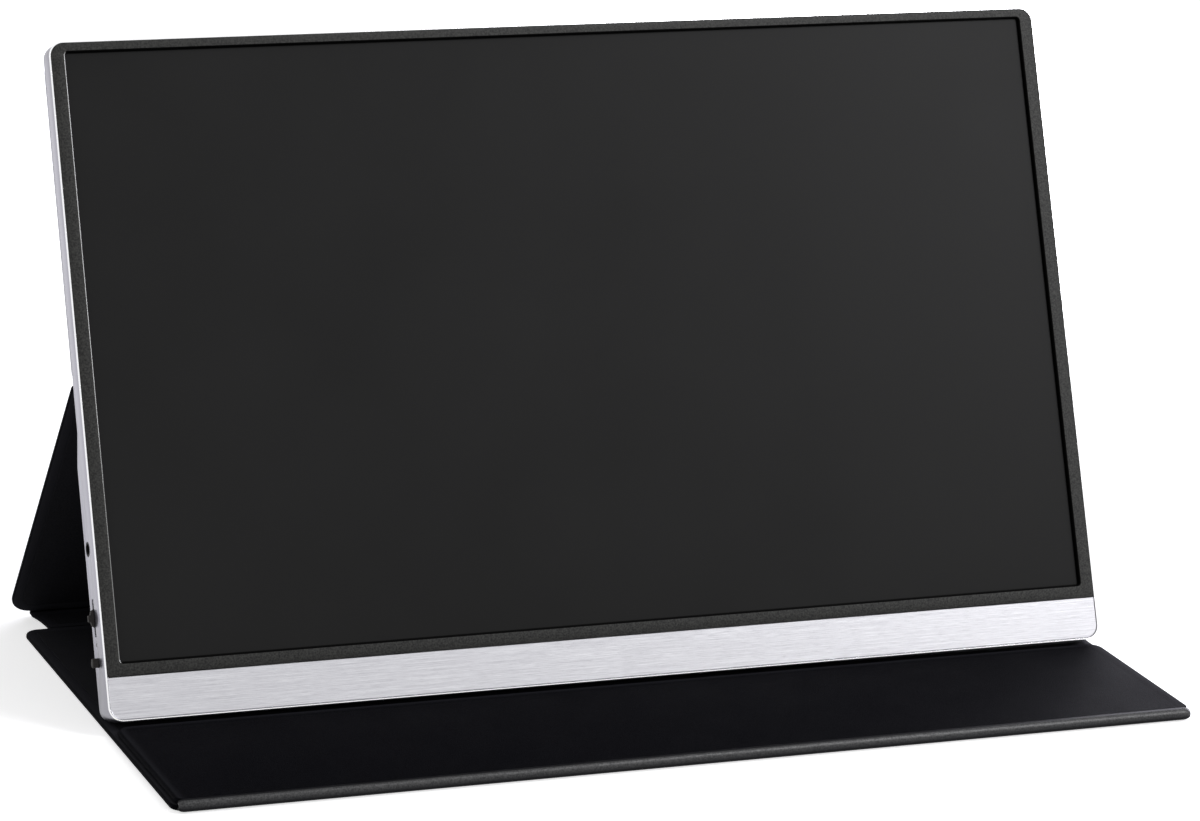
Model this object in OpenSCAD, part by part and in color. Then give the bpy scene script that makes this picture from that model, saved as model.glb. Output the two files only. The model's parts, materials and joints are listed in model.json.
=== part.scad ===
// Portable monitor standing in its folded leather cover.
// X runs across the screen, Y runs from the front to the back and Z is up.
// The origin lies on the table, straight below the monitor's lower front edge.

/* [Monitor body] */
// Width across the metal body
body_w = 356; // [330:1:380]
// Height of the body, measured up the screen
body_h = 223; // [210:1:240]
// Thickness of the slim upper half
slim_t = 7.4; // [7.2:0.1:9]
// Thickness of the lower half, which holds the electronics
thick_t = 11.2; // [11:0.1:13]
// Height at which the thick half ends and the slope begins
step_low = 84; // [80:1:90]
// Height up the screen that the slope takes
slope_h = 11; // [6:1:16]
// Radius of the body's four corners, seen from the front
body_r = 5; // [3:0.5:8]
// Thickness of the side walls
wall_t = 1.4; // [1.2:0.1:1.6]
// Thickness of the back wall
back_t = 1.2; // [1:0.1:1.4]
// Width of the polished rim round the front
rim_w = 0.5; // [0.3:0.1:0.8]
// Distance by which the rim falls back towards the body's sides
rim_d = 0.1; // [0.05:0.05:0.4]
// Radius of the lower rear edge, on which the monitor stands
heel_r = 3.5; // [2.5:0.5:4]
// Angle by which the screen leans back from upright
tilt = 22.5; // [18:0.5:27]

/* [Front] */
// Height of the brushed metal strip below the screen
strip_h = 14.1; // [12:0.1:18]
// Gap between the metal strip and the bezel
strip_gap = 0.15; // [0.1:0.05:0.4]
// Thickness of the bezel and of the metal strip
face_t = 1.2; // [1:0.1:1.3]
// Width of the bezel beside the screen
bezel_side = 4.95; // [4:0.05:7]
// Width of the bezel above the screen
bezel_top = 3.2; // [3:0.1:7]
// Width of the bezel below the screen
bezel_low = 4.4; // [3.5:0.1:7]
// Radius of the screen opening's corners
opening_r = 0.8; // [0.4:0.1:2]
// Clearance round the bezel in the rim
face_gap = 0.05; // [0.03:0.01:0.15]
// Clearance round the metal strip in the rim
strip_room = 0.2; // [0.1:0.05:0.3]

/* [Display module] */
// How far the glass runs behind the bezel at each edge
glass_lip = 1.2; // [0.9:0.1:1.4]
// Thickness of the foam seal between the bezel and the glass
foam_t = 0.3; // [0.2:0.05:0.4]
// Width of the foam seal
foam_w = 0.9; // [0.6:0.1:1]
// Thickness of the glass cell
glass_t = 1.1; // [0.9:0.1:1.2]
// Thickness of the stack of diffusing films
film_t = 0.4; // [0.2:0.1:0.5]
// Thickness of the light guide
guide_t = 1.3; // [1.1:0.1:1.4]
// Thickness of the white reflector sheet
reflector_t = 0.2; // [0.1:0.05:0.25]
// Sheet thickness of the steel tray that holds the display
tray_t = 0.4; // [0.3:0.1:0.4]
// Clearance between the display's layers and the tray's rim
tray_gap = 0.15; // [0.1:0.05:0.25]
// Height of the light bar below the light guide
bar_h = 2.4; // [2:0.1:3]
// Length of the driver board below the display
driver_w = 240; // [200:1:250]
// Height of the driver board
driver_h = 9; // [7:0.5:10]
// Thickness of the driver board
driver_t = 0.7; // [0.5:0.1:0.9]
// Width of the flat cable to the main board
cable_w = 16; // [10:1:20]
// Thickness of the flat cables
cable_t = 0.3; // [0.2:0.05:0.35]

/* [Electronics] */
// Distance of the sockets' centre line behind the front
port_y = 7.7; // [7.6:0.1:7.8]
// Thickness of the circuit boards
board_t = 0.8; // [0.6:0.1:1]
// Width of the main board
main_w = 76; // [70:1:90]
// Height of the main board
main_h = 58; // [56:1:60]
// Height of the main board's lower edge above the body's bottom
main_v = 20; // [19:0.5:21]
// Width of the key board behind the left wall
key_w = 24; // [22:1:30]
// Height of the key board
key_h = 46.5; // [45:0.5:50]
// Height of the key board's lower edge above the body's bottom
key_v = 17.5; // [17.3:0.1:17.8]
// Gap between a board's edge and the side wall
board_gap = 1.6; // [1.4:0.1:2]
// Radius of the posts that carry the boards
post_r = 1.9; // [1.7:0.1:2.2]
// Radius of the screws' shanks
screw_r = 0.7; // [0.6:0.05:0.8]
// Radius of the screws' heads
head_r = 1.4; // [1.2:0.1:1.6]
// Height of the screws' heads
head_h = 0.7; // [0.5:0.1:0.8]
// Length of a speaker box
speaker_w = 40; // [30:1:42]
// Height of a speaker box
speaker_h = 12.4; // [10:0.2:12.6]
// Depth of a speaker box
speaker_d = 3.8; // [3:0.1:4.2]
// Distance of the speakers' centres from the middle
speaker_x = 142; // [142:1:146]
// Length of the magnets in the body
magnet_w = 60; // [40:1:80]
// Height of the magnets in the body
magnet_h = 8; // [6:0.5:10]
// Thickness of the magnets in the body
magnet_t = 0.9; // [0.6:0.1:0.9]
// Distance of the magnets' centres from the middle
magnet_x = 105; // [90:1:120]
// Distance of the upper magnets below the body's top
magnet_down = 17; // [15:1:33]
// Height of the lower magnets up the screen
magnet_low = 130; // [124:1:150]
// Length of the flat cable between the boards that lies on each board
cable_lap = 4; // [3:0.5:6]
// Height of the flat cable between the boards
key_cable_h = 6; // [4:0.5:8]
// Height of the ribs on the inside of the back wall
rib_h = 0.8; // [0.5:0.1:0.9]
// Thickness of the ribs on the inside of the back wall
rib_t = 1; // [0.8:0.1:1.4]

/* [Left side] */
// Height of the headphone socket up the screen
jack_v = 57; // [55:0.5:59]
// Radius of the headphone socket's bore
jack_r = 1.75; // [1.7:0.05:1.8]
// Radius of the headphone socket's ring in the wall
jack_ring_r = 2.4; // [2.3:0.05:2.5]
// Depth of the headphone socket's bore from the outer face
jack_depth = 12; // [10:0.5:14]
// Height of the rocker's centre up the screen
rocker_v = 34.5; // [33.5:0.5:35.5]
// Length of the slot for the rocker
slot_h = 12.4; // [11.6:0.2:13]
// Width of the slot for the rocker
slot_w = 2; // [1.9:0.1:2.2]
// Clearance on each side of the rocker in its slot
rocker_gap = 0.2; // [0.15:0.05:0.3]
// Length of the rocker along the slot
rocker_h = 10.4; // [9.4:0.2:10.6]
// Length of the rocker's raised grip where it leaves the slot
grip_h = 6.2; // [5:0.2:7.2]
// Length of the flat tip of the rocker's grip
tip_h = 2.2; // [1.4:0.2:3]
// How far the rocker's grip stands out of the side
grip_out = 2; // [1.2:0.1:2.6]
// Distance of the rocker's pivot inside the outer face
pivot_in = 3.8; // [3.6:0.1:4]
// Radius of the rocker's pivot pin
pin_r = 0.6; // [0.5:0.05:0.7]
// Radial clearance of the rocker on its pin
pin_gap = 0.04; // [0.02:0.01:0.08]
// How far the rocker goes in when it is pressed
press_in = 0.4; // [0.2:0.05:0.5]
// Height of the round button up the screen
button_v = 20; // [19.8:0.1:20.4]
// Radius of the round button
button_r = 1.55; // [1.4:0.05:1.65]
// How far the round button stands out of the side
button_out = 2; // [1:0.1:2.4]
// How far the round button goes in when it is pressed
button_in = 0.5; // [0.3:0.05:0.6]
// Clearance round the button, the socket ring and the light pipe
side_gap = 0.08; // [0.05:0.01:0.12]
// Height of the status light up the screen
light_v = 25.8; // [25.4:0.1:26]
// Radius of the status light
light_r = 0.5; // [0.4:0.05:0.6]

/* [Right side] */
// Height of the small video socket up the screen
video_v = 64; // [62:0.5:66]
// Height of the upper data socket up the screen
data_v = 46; // [44:0.5:47]
// Distance between the two data sockets
data_step = 16; // [14:0.5:16]
// Width of a data socket's shell
data_w = 8.94; // [8.8:0.02:9.1]
// Thickness of a data socket's shell, over the outside
data_d = 3.16; // [3.1:0.02:3.3]
// Width of the video socket's shell
video_w = 11.2; // [11:0.1:11.6]
// Thickness of the video socket's shell, over the outside
video_d = 3.2; // [3.1:0.05:3.4]
// Length of the sockets' shells
socket_l = 7.4; // [6.8:0.1:8]
// Sheet thickness of the sockets' shells
socket_t = 0.3; // [0.2:0.05:0.35]
// How far the sockets lie behind the outer face
socket_in = 0.4; // [0.2:0.1:0.6]
// Clearance round the sockets in the wall
socket_gap = 0.12; // [0.1:0.01:0.2]

/* [Cover] */
// How much narrower the cover's large panels are than the body
cover_play = 0.5; // [0:0.5:4]
// Thickness of a stiff panel
sheet_t = 2; // [1.6:0.1:2.4]
// Thickness of the leather on the outside
skin_t = 0.5; // [0.4:0.05:0.6]
// Thickness of the soft lining on the inside
lining_t = 0.4; // [0.3:0.05:0.5]
// Distance from a panel's edge to its stiff board
hem_w = 5; // [4.5:0.5:6.5]
// Distance from a panel's edge to its lining
turn_w = 3.5; // [2:0.5:4]
// Clearance round the boards inside the leather
core_gap = 0.05; // [0.03:0.01:0.1]
// Height up the screen of the fold behind the monitor
fold_v = 111.5; // [108:0.5:114]
// Distance of the back panel's upper edge below the body's top
back_down = 3; // [2:1:10]
// Length of the leg from fold to fold
leg_l = 130.5; // [124:0.5:140]
// Width of the strip that lies between the leg and the base
spine_l = 20.5; // [18:0.5:24]
// Length of the flap that is folded back over the base
flap_l = 70.2; // [60:0.2:80]
// How much the flap stays inside the base at each side
flap_inset = 1.2; // [0.5:0.1:2]
// Distance between the flap's edge and the monitor's lower front edge
flap_gap = 0.2; // [0.2:0.1:1]
// Clearance between the flap and the base
stack_gap = 0.05; // [0.05:0.05:0.3]
// Clearance between the monitor's heel and the base
seat_gap = 0.2; // [0.15:0.05:0.3]
// Thickness of the cover along its creases
crease_t = 1; // [0.8:0.1:1.2]
// Distance from the axis of the upper crease to the stiff panels
crease_w = 1.6; // [1.4:0.1:2]
// Radius of the leg's lower corners
leg_r = 8; // [5:0.5:12]
// Radius of the base's rear corners
base_r = 5; // [3:0.5:8]
// Radius of the flap's free corners
flap_r = 7; // [4:0.5:10]
// Radius of the base's corners beside the rolled front edge
base_front_r = 4; // [1.5:0.5:6]
// Radius of the flap's corners beside the rolled front edge
flap_front_r = 2.5; // [1.5:0.5:4]
// Distance of the rolled front edge's ends from the flap's sides
roll_in = 1; // [0.5:0.25:2]
// Radius of the back panel's upper corners
back_r = 6; // [4:0.5:10]
// Radius of the corners next to a fold
fold_r = 1.5; // [1:0.1:2]
// Distance of the notches' deepest point from the cover's side
notch_in = 9.75; // [9.5:0.25:22]
// Radius of the notches beside the spine
notch_r = 54; // [40:1:80]
// Distance of the notches' deepest point behind the base
notch_y = 4; // [2:0.5:8]
// Length of the magnets in the cover
pad_w = 60; // [40:1:80]
// Width of the magnets in the cover
pad_h = 8; // [6:0.5:10]
// Distance of the flap's magnets from its free edge
pad_edge = 12; // [10:1:20]

/* [Hidden] */

$fn = 48;

// Amount by which cutting shapes run past the faces that they cut
past = 1;

// Plan sizes of the body
half_w = body_w / 2;
inner_half = half_w - wall_t;
inner_low = wall_t;
inner_top = body_h - wall_t;
slim_in = slim_t - back_t;
thick_in = thick_t - back_t;
step_high = step_low + slope_h;

// Pieces let into the front
face_half = half_w - rim_w;
face_low = rim_w;
face_top = body_h - rim_w;
face_r = body_r - rim_w;
bezel_v = face_low + strip_h + strip_gap;
opening_half = face_half - bezel_side;
opening_low = bezel_v + bezel_low;
opening_top = face_top - bezel_top;

// Layers of the display, counted back from the front
glass_y = face_t + foam_t;
film_y = glass_y + glass_t;
guide_y = film_y + film_t;
reflector_y = guide_y + guide_t;
tray_y = reflector_y + reflector_t;
tray_back = tray_y + tray_t;
glass_half = opening_half + glass_lip;
glass_low = opening_low - glass_lip;
glass_top = opening_top + glass_lip;
tray_half = glass_half + tray_gap + tray_t;
tray_low = glass_low - tray_gap - tray_t;
tray_top = glass_top + tray_gap + tray_t;
guide_low = glass_low + bar_h + tray_gap;

// Flange below the tray, which carries the driver board
flange_end = 4;
flange_half = driver_w / 2 + flange_end;
flange_low = 4;
driver_v = flange_low + 1;
tray_screw_v = 9.5;
tray_screw_xs = [2 - driver_w / 2, driver_w / 2 - 2];
driver_half = driver_w / 2 - 8;
chip_w = 16;
chip_t = 0.8;

// Boards and what fastens them
board_y = port_y - board_t / 2;
board_back = board_y + board_t;
main_x = inner_half - board_gap - main_w;
key_x = -(inner_half - board_gap);
post_in = 4;
main_posts = [[main_x + post_in, main_v + post_in],
    [main_x + post_in, main_v + main_h - post_in],
    [main_x + main_w - 14, main_v + main_h / 2 - 3]];
key_posts = [[key_x + key_w - post_in, key_v + post_in],
    [key_x + key_w - post_in, key_v + key_h - post_in]];
board_hole_r = screw_r + 0.15;
shank_l = 1.6;
// Chips of the main board: place from the board's lower inner corner, size and thickness
main_chips = [[20, 30, 14, 1.2], [42, 34, 9, 1], [18, 8, 9, 1.4], [38, 10, 7, 1.4]];
display_cable_x = driver_half - cable_w;
display_cable_top = main_v + 6;
key_cable_v = key_v + key_h / 2;

// Left side
left_x = -half_w;
slot_ends = slot_h / 2;
rocker_t = slot_w - 2 * rocker_gap;
pivot_x = left_x + pivot_in;
hub_r = pin_r + 0.9;
ear_t = 0.6;
ear_gap = 0.1;
carrier_x = pivot_x + hub_r + 0.5;
carrier_l = 1.6;
carrier_half = 2;
plunger_r = 0.8;
plunger_l = 1.5;
plunger_gap = 0.08;
switch_x = carrier_x + carrier_l + press_in + 0.1;
switch_l = 4;
switch_half = 2.3;
switch_d = 3.6;
button_flange_r = button_r + 0.5;
button_flange_t = 0.6;
button_stem_l = 1.2;
button_switch_l = 3;
button_switch_half = 1.9;
button_flange_x = left_x + wall_t + 0.3;
button_switch_x = button_flange_x + button_flange_t + button_stem_l + button_in + 0.1;
jack_l = jack_depth - wall_t + 0.4;
jack_half_v = 3.1;
jack_half_y = 2.25;

// Lean of the monitor and place of its folds, in the table's frame
edge_z = sheet_t + seat_gap + thick_t * sin(tilt) - heel_r * (cos(tilt) + sin(tilt) - 1);
fold_w = slim_t + sheet_t / 2;
fold_y = fold_v * sin(tilt) + fold_w * cos(tilt);
fold_z = edge_z + fold_v * cos(tilt) - fold_w * sin(tilt);
crease_z = sheet_t / 2;
leg_rise = asin((fold_z - crease_z) / leg_l);
// The leg and the spine start where they just clear each other at the foot
foot_w = crease_z / tan(leg_rise / 2) + stack_gap;
foot_y = fold_y + leg_l * cos(leg_rise);
base_rear = foot_y - spine_l;
roll_y = -(flap_l + flap_gap);
roll_z = sheet_t + stack_gap / 2;
roll_gap = 0.15;
cover_w = body_w - cover_play;
flap_w = cover_w - 2 * flap_inset;
notch_x = cover_w / 2 - notch_in;
magnet_top = body_h - magnet_down;
back_l = body_h - back_down - fold_v - crease_w;
leg_panel_l = leg_l - foot_w - crease_w;
base_l = base_rear - roll_y - roll_gap;
lay_t = sheet_t - skin_t - lining_t;

// ---------------------------------------------------------------- helpers

// Places children in the monitor's own frame: Y behind the front, Z up the screen
module on_monitor() {
    translate([0, 0, edge_z])
        rotate([-tilt, 0, 0])
            children();
}

// Places children on the leg: Y runs from the foot up to the fold, Z faces the monitor
module on_leg() {
    translate([0, foot_y, crease_z])
        rotate([180 - leg_rise, 0, 0])
            children();
}

// Places children on the back panel: Y runs up the screen, Z faces the monitor
module on_back() {
    on_monitor()
        translate([0, slim_t + sheet_t, fold_v])
            rotate([90, 0, 0])
                children();
}

// Turns a flat outline to face the front and makes it depth d thick from distance y on
module facing(y, d) {
    translate([0, y + d, 0])
        rotate([90, 0, 0])
            linear_extrude(d)
                children();
}

// Sweeps an outline of depth and height across the monitor from x to x + w
module across(x, w) {
    translate([x, 0, 0])
        rotate([90, 0, 90])
            linear_extrude(w)
                children();
}

// Cylinder along +X from a point on the monitor
module rod_x(x, y, v, l, r) {
    translate([x, y, v])
        rotate([0, 90, 0])
            cylinder(h = l, r = r);
}

// Cylinder towards the back from a point on the monitor
module rod_y(x, y, v, l, r) {
    translate([x, y, v])
        rotate([-90, 0, 0])
            cylinder(h = l, r = r);
}

// Rectangle from (-half, low) to (half, top) with round corners
module round_rect(half, low, top, r) {
    translate([-half, low + r])
        square([2 * half, top - low - 2 * r]);
    translate([-half + r, low])
        square([2 * (half - r), top - low]);
    for (x = [-half + r, half - r])
        for (v = [low + r, top - r])
            translate([x, v])
                circle(r);
}

// Rectangle of width w that runs from 0 to l, with its own corner radius at each end
module panel_outline(w, l, r_start, r_end) {
    translate([-w / 2, r_start])
        square([w, l - r_start - r_end]);
    translate([-w / 2 + r_start, 0])
        square([w - 2 * r_start, l / 2]);
    translate([-w / 2 + r_end, l / 2])
        square([w - 2 * r_end, l / 2]);
    for (s = [-1, 1]) {
        translate([s * (w / 2 - r_start), r_start])
            circle(r_start);
        translate([s * (w / 2 - r_end), l - r_end])
            circle(r_end);
    }
}

// The same outline drawn in by a margin on every side
module panel_inset(w, l, r_start, r_end, m) {
    translate([0, m])
        panel_outline(w - 2 * m, l - 2 * m, max(r_start - m, 0.5), max(r_end - m, 0.5));
}

// Leather of a panel: a shallow tray with a turned edge, open towards the lining
module panel_leather(w, l, r_start, r_end) {
    difference() {
        linear_extrude(sheet_t)
            panel_outline(w, l, r_start, r_end);
        translate([0, 0, skin_t])
            linear_extrude(sheet_t)
                panel_inset(w, l, r_start, r_end, hem_w);
        translate([0, 0, sheet_t - lining_t])
            linear_extrude(sheet_t)
                panel_inset(w, l, r_start, r_end, turn_w);
    }
}

// Stiff board inside a panel
module panel_board(w, l, r_start, r_end) {
    translate([0, 0, skin_t])
        linear_extrude(lay_t)
            panel_inset(w, l, r_start, r_end, hem_w + core_gap);
}

// Soft lining on a panel's inner side
module panel_lining(w, l, r_start, r_end) {
    translate([0, 0, sheet_t - lining_t])
        linear_extrude(lining_t)
            panel_inset(w, l, r_start, r_end, turn_w + core_gap);
}

// Leather along a crease: a round bead on the axis with a thinner web towards each panel
module crease(w, angles, reach) {
    web_t = 0.8 * crease_t;
    across(-w / 2, w)
        union() {
            circle(crease_t / 2);
            for (a = angles)
                rotate(a)
                    translate([0, -web_t / 2])
                        square([reach, web_t]);
        }
}

// ---------------------------------------------------------------- monitor body

// Solid block with round corners and a slightly sloping rim round its front
module rimmed_block() {
    for (x = [-half_w + body_r, half_w - body_r])
        for (v = [body_r, body_h - body_r])
            translate([x, 0, v])
                rotate([-90, 0, 0]) {
                    cylinder(h = rim_d, r1 = body_r - rim_w, r2 = body_r);
                    translate([0, 0, rim_d])
                        cylinder(h = thick_t - rim_d, r = body_r);
                }
    translate([0, 0, body_r])
        linear_extrude(body_h - 2 * body_r)
            polygon([[-half_w + rim_w, 0], [half_w - rim_w, 0], [half_w, rim_d],
                [half_w, thick_t], [-half_w, thick_t], [-half_w, rim_d]]);
    across(-half_w + body_r, body_w - 2 * body_r)
        polygon([[0, rim_w], [rim_d, 0], [thick_t, 0],
            [thick_t, body_h], [rim_d, body_h], [0, body_h - rim_w]]);
}

// Side view of the body: slim above, thick below, with a round heel
module body_profile() {
    difference() {
        polygon([[-past, -past], [thick_t, -past], [thick_t, step_low],
            [slim_t, step_high], [slim_t, body_h + past], [-past, body_h + past]]);
        difference() {
            translate([thick_t - heel_r, -2 * past])
                square([heel_r + past, heel_r + 2 * past]);
            translate([thick_t - heel_r, heel_r])
                circle(heel_r);
        }
    }
}

// Side view of the space inside the body
module cavity_profile() {
    inner_r = heel_r - back_t;
    difference() {
        polygon([[face_t, inner_low], [thick_in, inner_low], [thick_in, step_low - back_t / 2],
            [slim_in, step_high - back_t / 2], [slim_in, inner_top], [face_t, inner_top]]);
        difference() {
            translate([thick_in - inner_r, inner_low - past])
                square([inner_r + past, inner_r + past]);
            translate([thick_in - inner_r, inner_low + inner_r])
                circle(inner_r);
        }
    }
}

// Stadium outline of a data socket, grown by g
module data_outline(g) {
    r = data_d / 2 + g;
    reach = data_w / 2 + g - r;
    translate([-r, -reach])
        square([2 * r, 2 * reach]);
    for (s = [-1, 1])
        translate([0, s * reach])
            circle(r);
}

// Keyed outline of the video socket, grown by g
module video_outline(g) {
    d = video_d / 2 + g;
    h = video_w / 2 + g;
    key = 0.8;
    polygon([[-d, -h], [d - key, -h], [d, -h + key * 1.5],
        [d, h - key * 1.5], [d - key, h], [-d, h]]);
}

// Post on the inside of the back wall, from distance y back to the wall
module post(x, v, y, r) {
    difference() {
        rod_y(x, y, v, thick_in - y + back_t / 2, r);
        rod_y(x, y - past, v, thick_in - y + past, screw_r);
    }
}

// Openings in the side walls
module side_openings() {
    rod_x(left_x - past, port_y, jack_v, wall_t + 2 * past, jack_ring_r + side_gap);
    rod_x(left_x - past, port_y, button_v, wall_t + 2 * past, button_r + side_gap);
    rod_x(left_x - past, port_y, light_v, wall_t + 2 * past, light_r + side_gap);
    translate([left_x - past, port_y - slot_w / 2, rocker_v - slot_ends])
        cube([wall_t + 2 * past, slot_w, slot_h]);
    for (i = [0, 1])
        across(inner_half - past, wall_t + 2 * past)
            translate([port_y, data_v - i * data_step])
                data_outline(socket_gap);
    across(inner_half - past, wall_t + 2 * past)
        translate([port_y, video_v])
            video_outline(socket_gap);
}

// Ribs that stiffen the slim half of the back wall
module back_ribs() {
    rib_low = step_high + 4;
    rib_top = inner_top - 8;
    rib_half = inner_half - 6;
    y = slim_in - rib_h;
    for (x = [-rib_half, -rib_half / 3, rib_half / 3, rib_half])
        translate([x - rib_t / 2, y, rib_low])
            cube([rib_t, rib_h + back_t / 2, rib_top - rib_low]);
    for (v = [rib_low, (rib_low + rib_top) / 2, rib_top])
        translate([-rib_half, y, v - rib_t / 2])
            cube([2 * rib_half, rib_h + back_t / 2, rib_t]);
}

// Space kept free in the ribs for one magnet
module magnet_room(x, v) {
    translate([x - magnet_w / 2 - core_gap, slim_in - rib_h - past, v - magnet_h / 2 - core_gap])
        cube([magnet_w + 2 * core_gap, rib_h + past, magnet_h + 2 * core_gap]);
}

module rear_housing() {
    color([0.74, 0.74, 0.78])
        on_monitor() {
            difference() {
                intersection() {
                    rimmed_block();
                    across(-half_w - past, body_w + 2 * past)
                        body_profile();
                }
                facing(-past, face_t + past)
                    round_rect(face_half, face_low, face_top, face_r);
                intersection() {
                    facing(face_t - 0.1, thick_t)
                        round_rect(inner_half, inner_low, inner_top, body_r - wall_t);
                    across(-half_w, body_w)
                        union() {
                            cavity_profile();
                            translate([face_t - 0.2, inner_low])
                                square([0.4, inner_top - inner_low]);
                        }
                }
                side_openings();
            }
            difference() {
                back_ribs();
                for (x = [-magnet_x, magnet_x])
                    for (v = [magnet_low, magnet_top])
                        magnet_room(x, v);
            }
            for (p = concat(main_posts, key_posts))
                post(p[0], p[1], board_back, post_r);
            for (x = tray_screw_xs)
                post(x, tray_screw_v, tray_back, post_r);
        }
}

module front_bezel() {
    color([0.09, 0.09, 0.1])
        on_monitor()
            facing(0, face_t)
                difference() {
                    round_rect(face_half - face_gap, face_low + face_gap, face_top - face_gap,
                        face_r - face_gap);
                    translate([-face_half, face_low - past])
                        square([2 * face_half, bezel_v - face_low + past]);
                    round_rect(opening_half, opening_low, opening_top, opening_r);
                }
}

module trim_strip() {
    color([0.82, 0.82, 0.85])
        on_monitor()
            facing(0, face_t)
                difference() {
                    round_rect(face_half - strip_room, face_low + strip_room,
                        face_top - strip_room, face_r - strip_room);
                    translate([-face_half, face_low + strip_h])
                        square([2 * face_half, face_top]);
                }
}

// ---------------------------------------------------------------- display module

module foam_seal() {
    color([0.2, 0.2, 0.22])
        on_monitor()
            facing(face_t, foam_t)
                difference() {
                    round_rect(glass_half, glass_low, glass_top, opening_r);
                    round_rect(glass_half - foam_w, glass_low + foam_w, glass_top - foam_w,
                        opening_r);
                }
}

module screen_glass() {
    color([0.1, 0.1, 0.11])
        on_monitor()
            facing(glass_y, glass_t)
                round_rect(glass_half, glass_low, glass_top, opening_r);
}

module optical_films() {
    color([0.92, 0.92, 0.9])
        on_monitor()
            facing(film_y, film_t)
                round_rect(glass_half - tray_gap, glass_low, glass_top - tray_gap, opening_r);
}

module light_guide() {
    color([0.8, 0.88, 0.92])
        on_monitor()
            facing(guide_y, guide_t)
                round_rect(glass_half - tray_gap, guide_low, glass_top - tray_gap, opening_r);
}

module reflector_sheet() {
    color([0.96, 0.96, 0.96])
        on_monitor()
            facing(reflector_y, reflector_t)
                round_rect(glass_half - tray_gap, glass_low, glass_top - tray_gap, opening_r);
}

module light_bar() {
    color([0.95, 0.9, 0.6])
        on_monitor()
            translate([-glass_half + tray_gap, guide_y, glass_low])
                cube([2 * (glass_half - tray_gap), guide_t, bar_h]);
}

module display_tray() {
    color([0.6, 0.6, 0.62])
        on_monitor()
            difference() {
                union() {
                    facing(face_t, tray_back - face_t)
                        round_rect(tray_half, tray_low, tray_top, opening_r);
                    translate([-flange_half, tray_y, flange_low])
                        cube([2 * flange_half, tray_t, tray_low - flange_low + 1]);
                }
                facing(face_t - past, tray_y - face_t + past)
                    round_rect(tray_half - tray_t, tray_low + tray_t, tray_top - tray_t, opening_r);
                for (x = tray_screw_xs)
                    rod_y(x, tray_y - past, tray_screw_v, tray_t + 2 * past, board_hole_r);
            }
}

module driver_board() {
    color([0.1, 0.35, 0.2])
        on_monitor() {
            translate([-driver_half, tray_y - driver_t, driver_v])
                cube([2 * driver_half, driver_t, driver_h]);
            for (x = [-0.6 * driver_half, 0, 0.6 * driver_half])
                translate([x - chip_w / 2, tray_y - driver_t - chip_t, driver_v + driver_h / 4])
                    cube([chip_w, chip_t + 0.1, driver_h / 2]);
        }
}

module display_cable() {
    color([0.75, 0.55, 0.2])
        on_monitor()
            across(display_cable_x, cable_w)
                union() {
                    translate([tray_y - driver_t / 2, driver_v - 1 - cable_t])
                        square([driver_t / 2 + tray_t + cable_t, cable_t]);
                    translate([tray_y - driver_t / 2, driver_v - 1 - cable_t])
                        square([cable_t, 1 + cable_t]);
                    translate([tray_back, driver_v - 1 - cable_t])
                        square([cable_t, display_cable_top - driver_v + 1 + cable_t]);
                    translate([tray_back, display_cable_top - cable_t])
                        square([board_y - tray_back, cable_t]);
                }
}

// ---------------------------------------------------------------- electronics

// Holes through a board for its screws
module board_holes(posts) {
    for (p = posts)
        rod_y(p[0], board_y - past, p[1], board_t + 2 * past, board_hole_r);
}

// Notch in a board's outer edge around a part that is sunk into it
module board_notch(x, w, v, half) {
    translate([x, board_y - past, v - half])
        cube([w, board_t + 2 * past, 2 * half]);
}

module main_board() {
    room = 0.15;
    inner_end = half_w - socket_in - socket_l;
    color([0.08, 0.4, 0.22])
        on_monitor() {
            difference() {
                translate([main_x, board_y, main_v])
                    cube([main_w, board_t, main_h]);
                board_holes(main_posts);
                board_notch(inner_end - room, socket_l + past, video_v, video_w / 2 + room);
                for (i = [0, 1])
                    board_notch(inner_end - room, socket_l + past, data_v - i * data_step,
                        data_w / 2 + room);
            }
            for (c = main_chips)
                translate([main_x + c[0], board_back - 0.1, main_v + c[1]])
                    cube([c[2], c[3] + 0.1, c[2]]);
        }
}

module key_board() {
    room = 0.15;
    color([0.08, 0.4, 0.22])
        on_monitor()
            difference() {
                translate([key_x, board_y, key_v])
                    cube([key_w, board_t, key_h]);
                board_holes(key_posts);
                board_notch(key_x - past, left_x + wall_t + jack_l + room - key_x + past,
                    jack_v, jack_half_v + room);
                board_notch(key_x - past, switch_x + switch_l + room - key_x + past,
                    rocker_v, switch_half + room);
                board_notch(key_x - past, switch_x - key_x, rocker_v, slot_ends);
                board_notch(key_x - past, button_switch_x + button_switch_l + room - key_x + past,
                    button_v, button_switch_half + room);
                board_notch(key_x - past, 2.4 + past, light_v, light_r + 0.9 + room);
            }
}

module key_cable() {
    color([0.85, 0.85, 0.88])
        on_monitor()
            translate([key_x + key_w - cable_lap, board_back, key_cable_v - key_cable_h / 2])
                cube([main_x - key_x - key_w + 2 * cable_lap, cable_t, key_cable_h]);
}

module headphone_socket() {
    color([0.05, 0.05, 0.06])
        on_monitor()
            difference() {
                union() {
                    rod_x(left_x, port_y, jack_v, wall_t + 0.5, jack_ring_r);
                    translate([left_x + wall_t + 0.1, port_y - jack_half_y, jack_v - jack_half_v])
                        cube([jack_l - 0.1, 2 * jack_half_y, 2 * jack_half_v]);
                }
                rod_x(left_x - past, port_y, jack_v, jack_depth + past, jack_r);
            }
}

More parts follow.
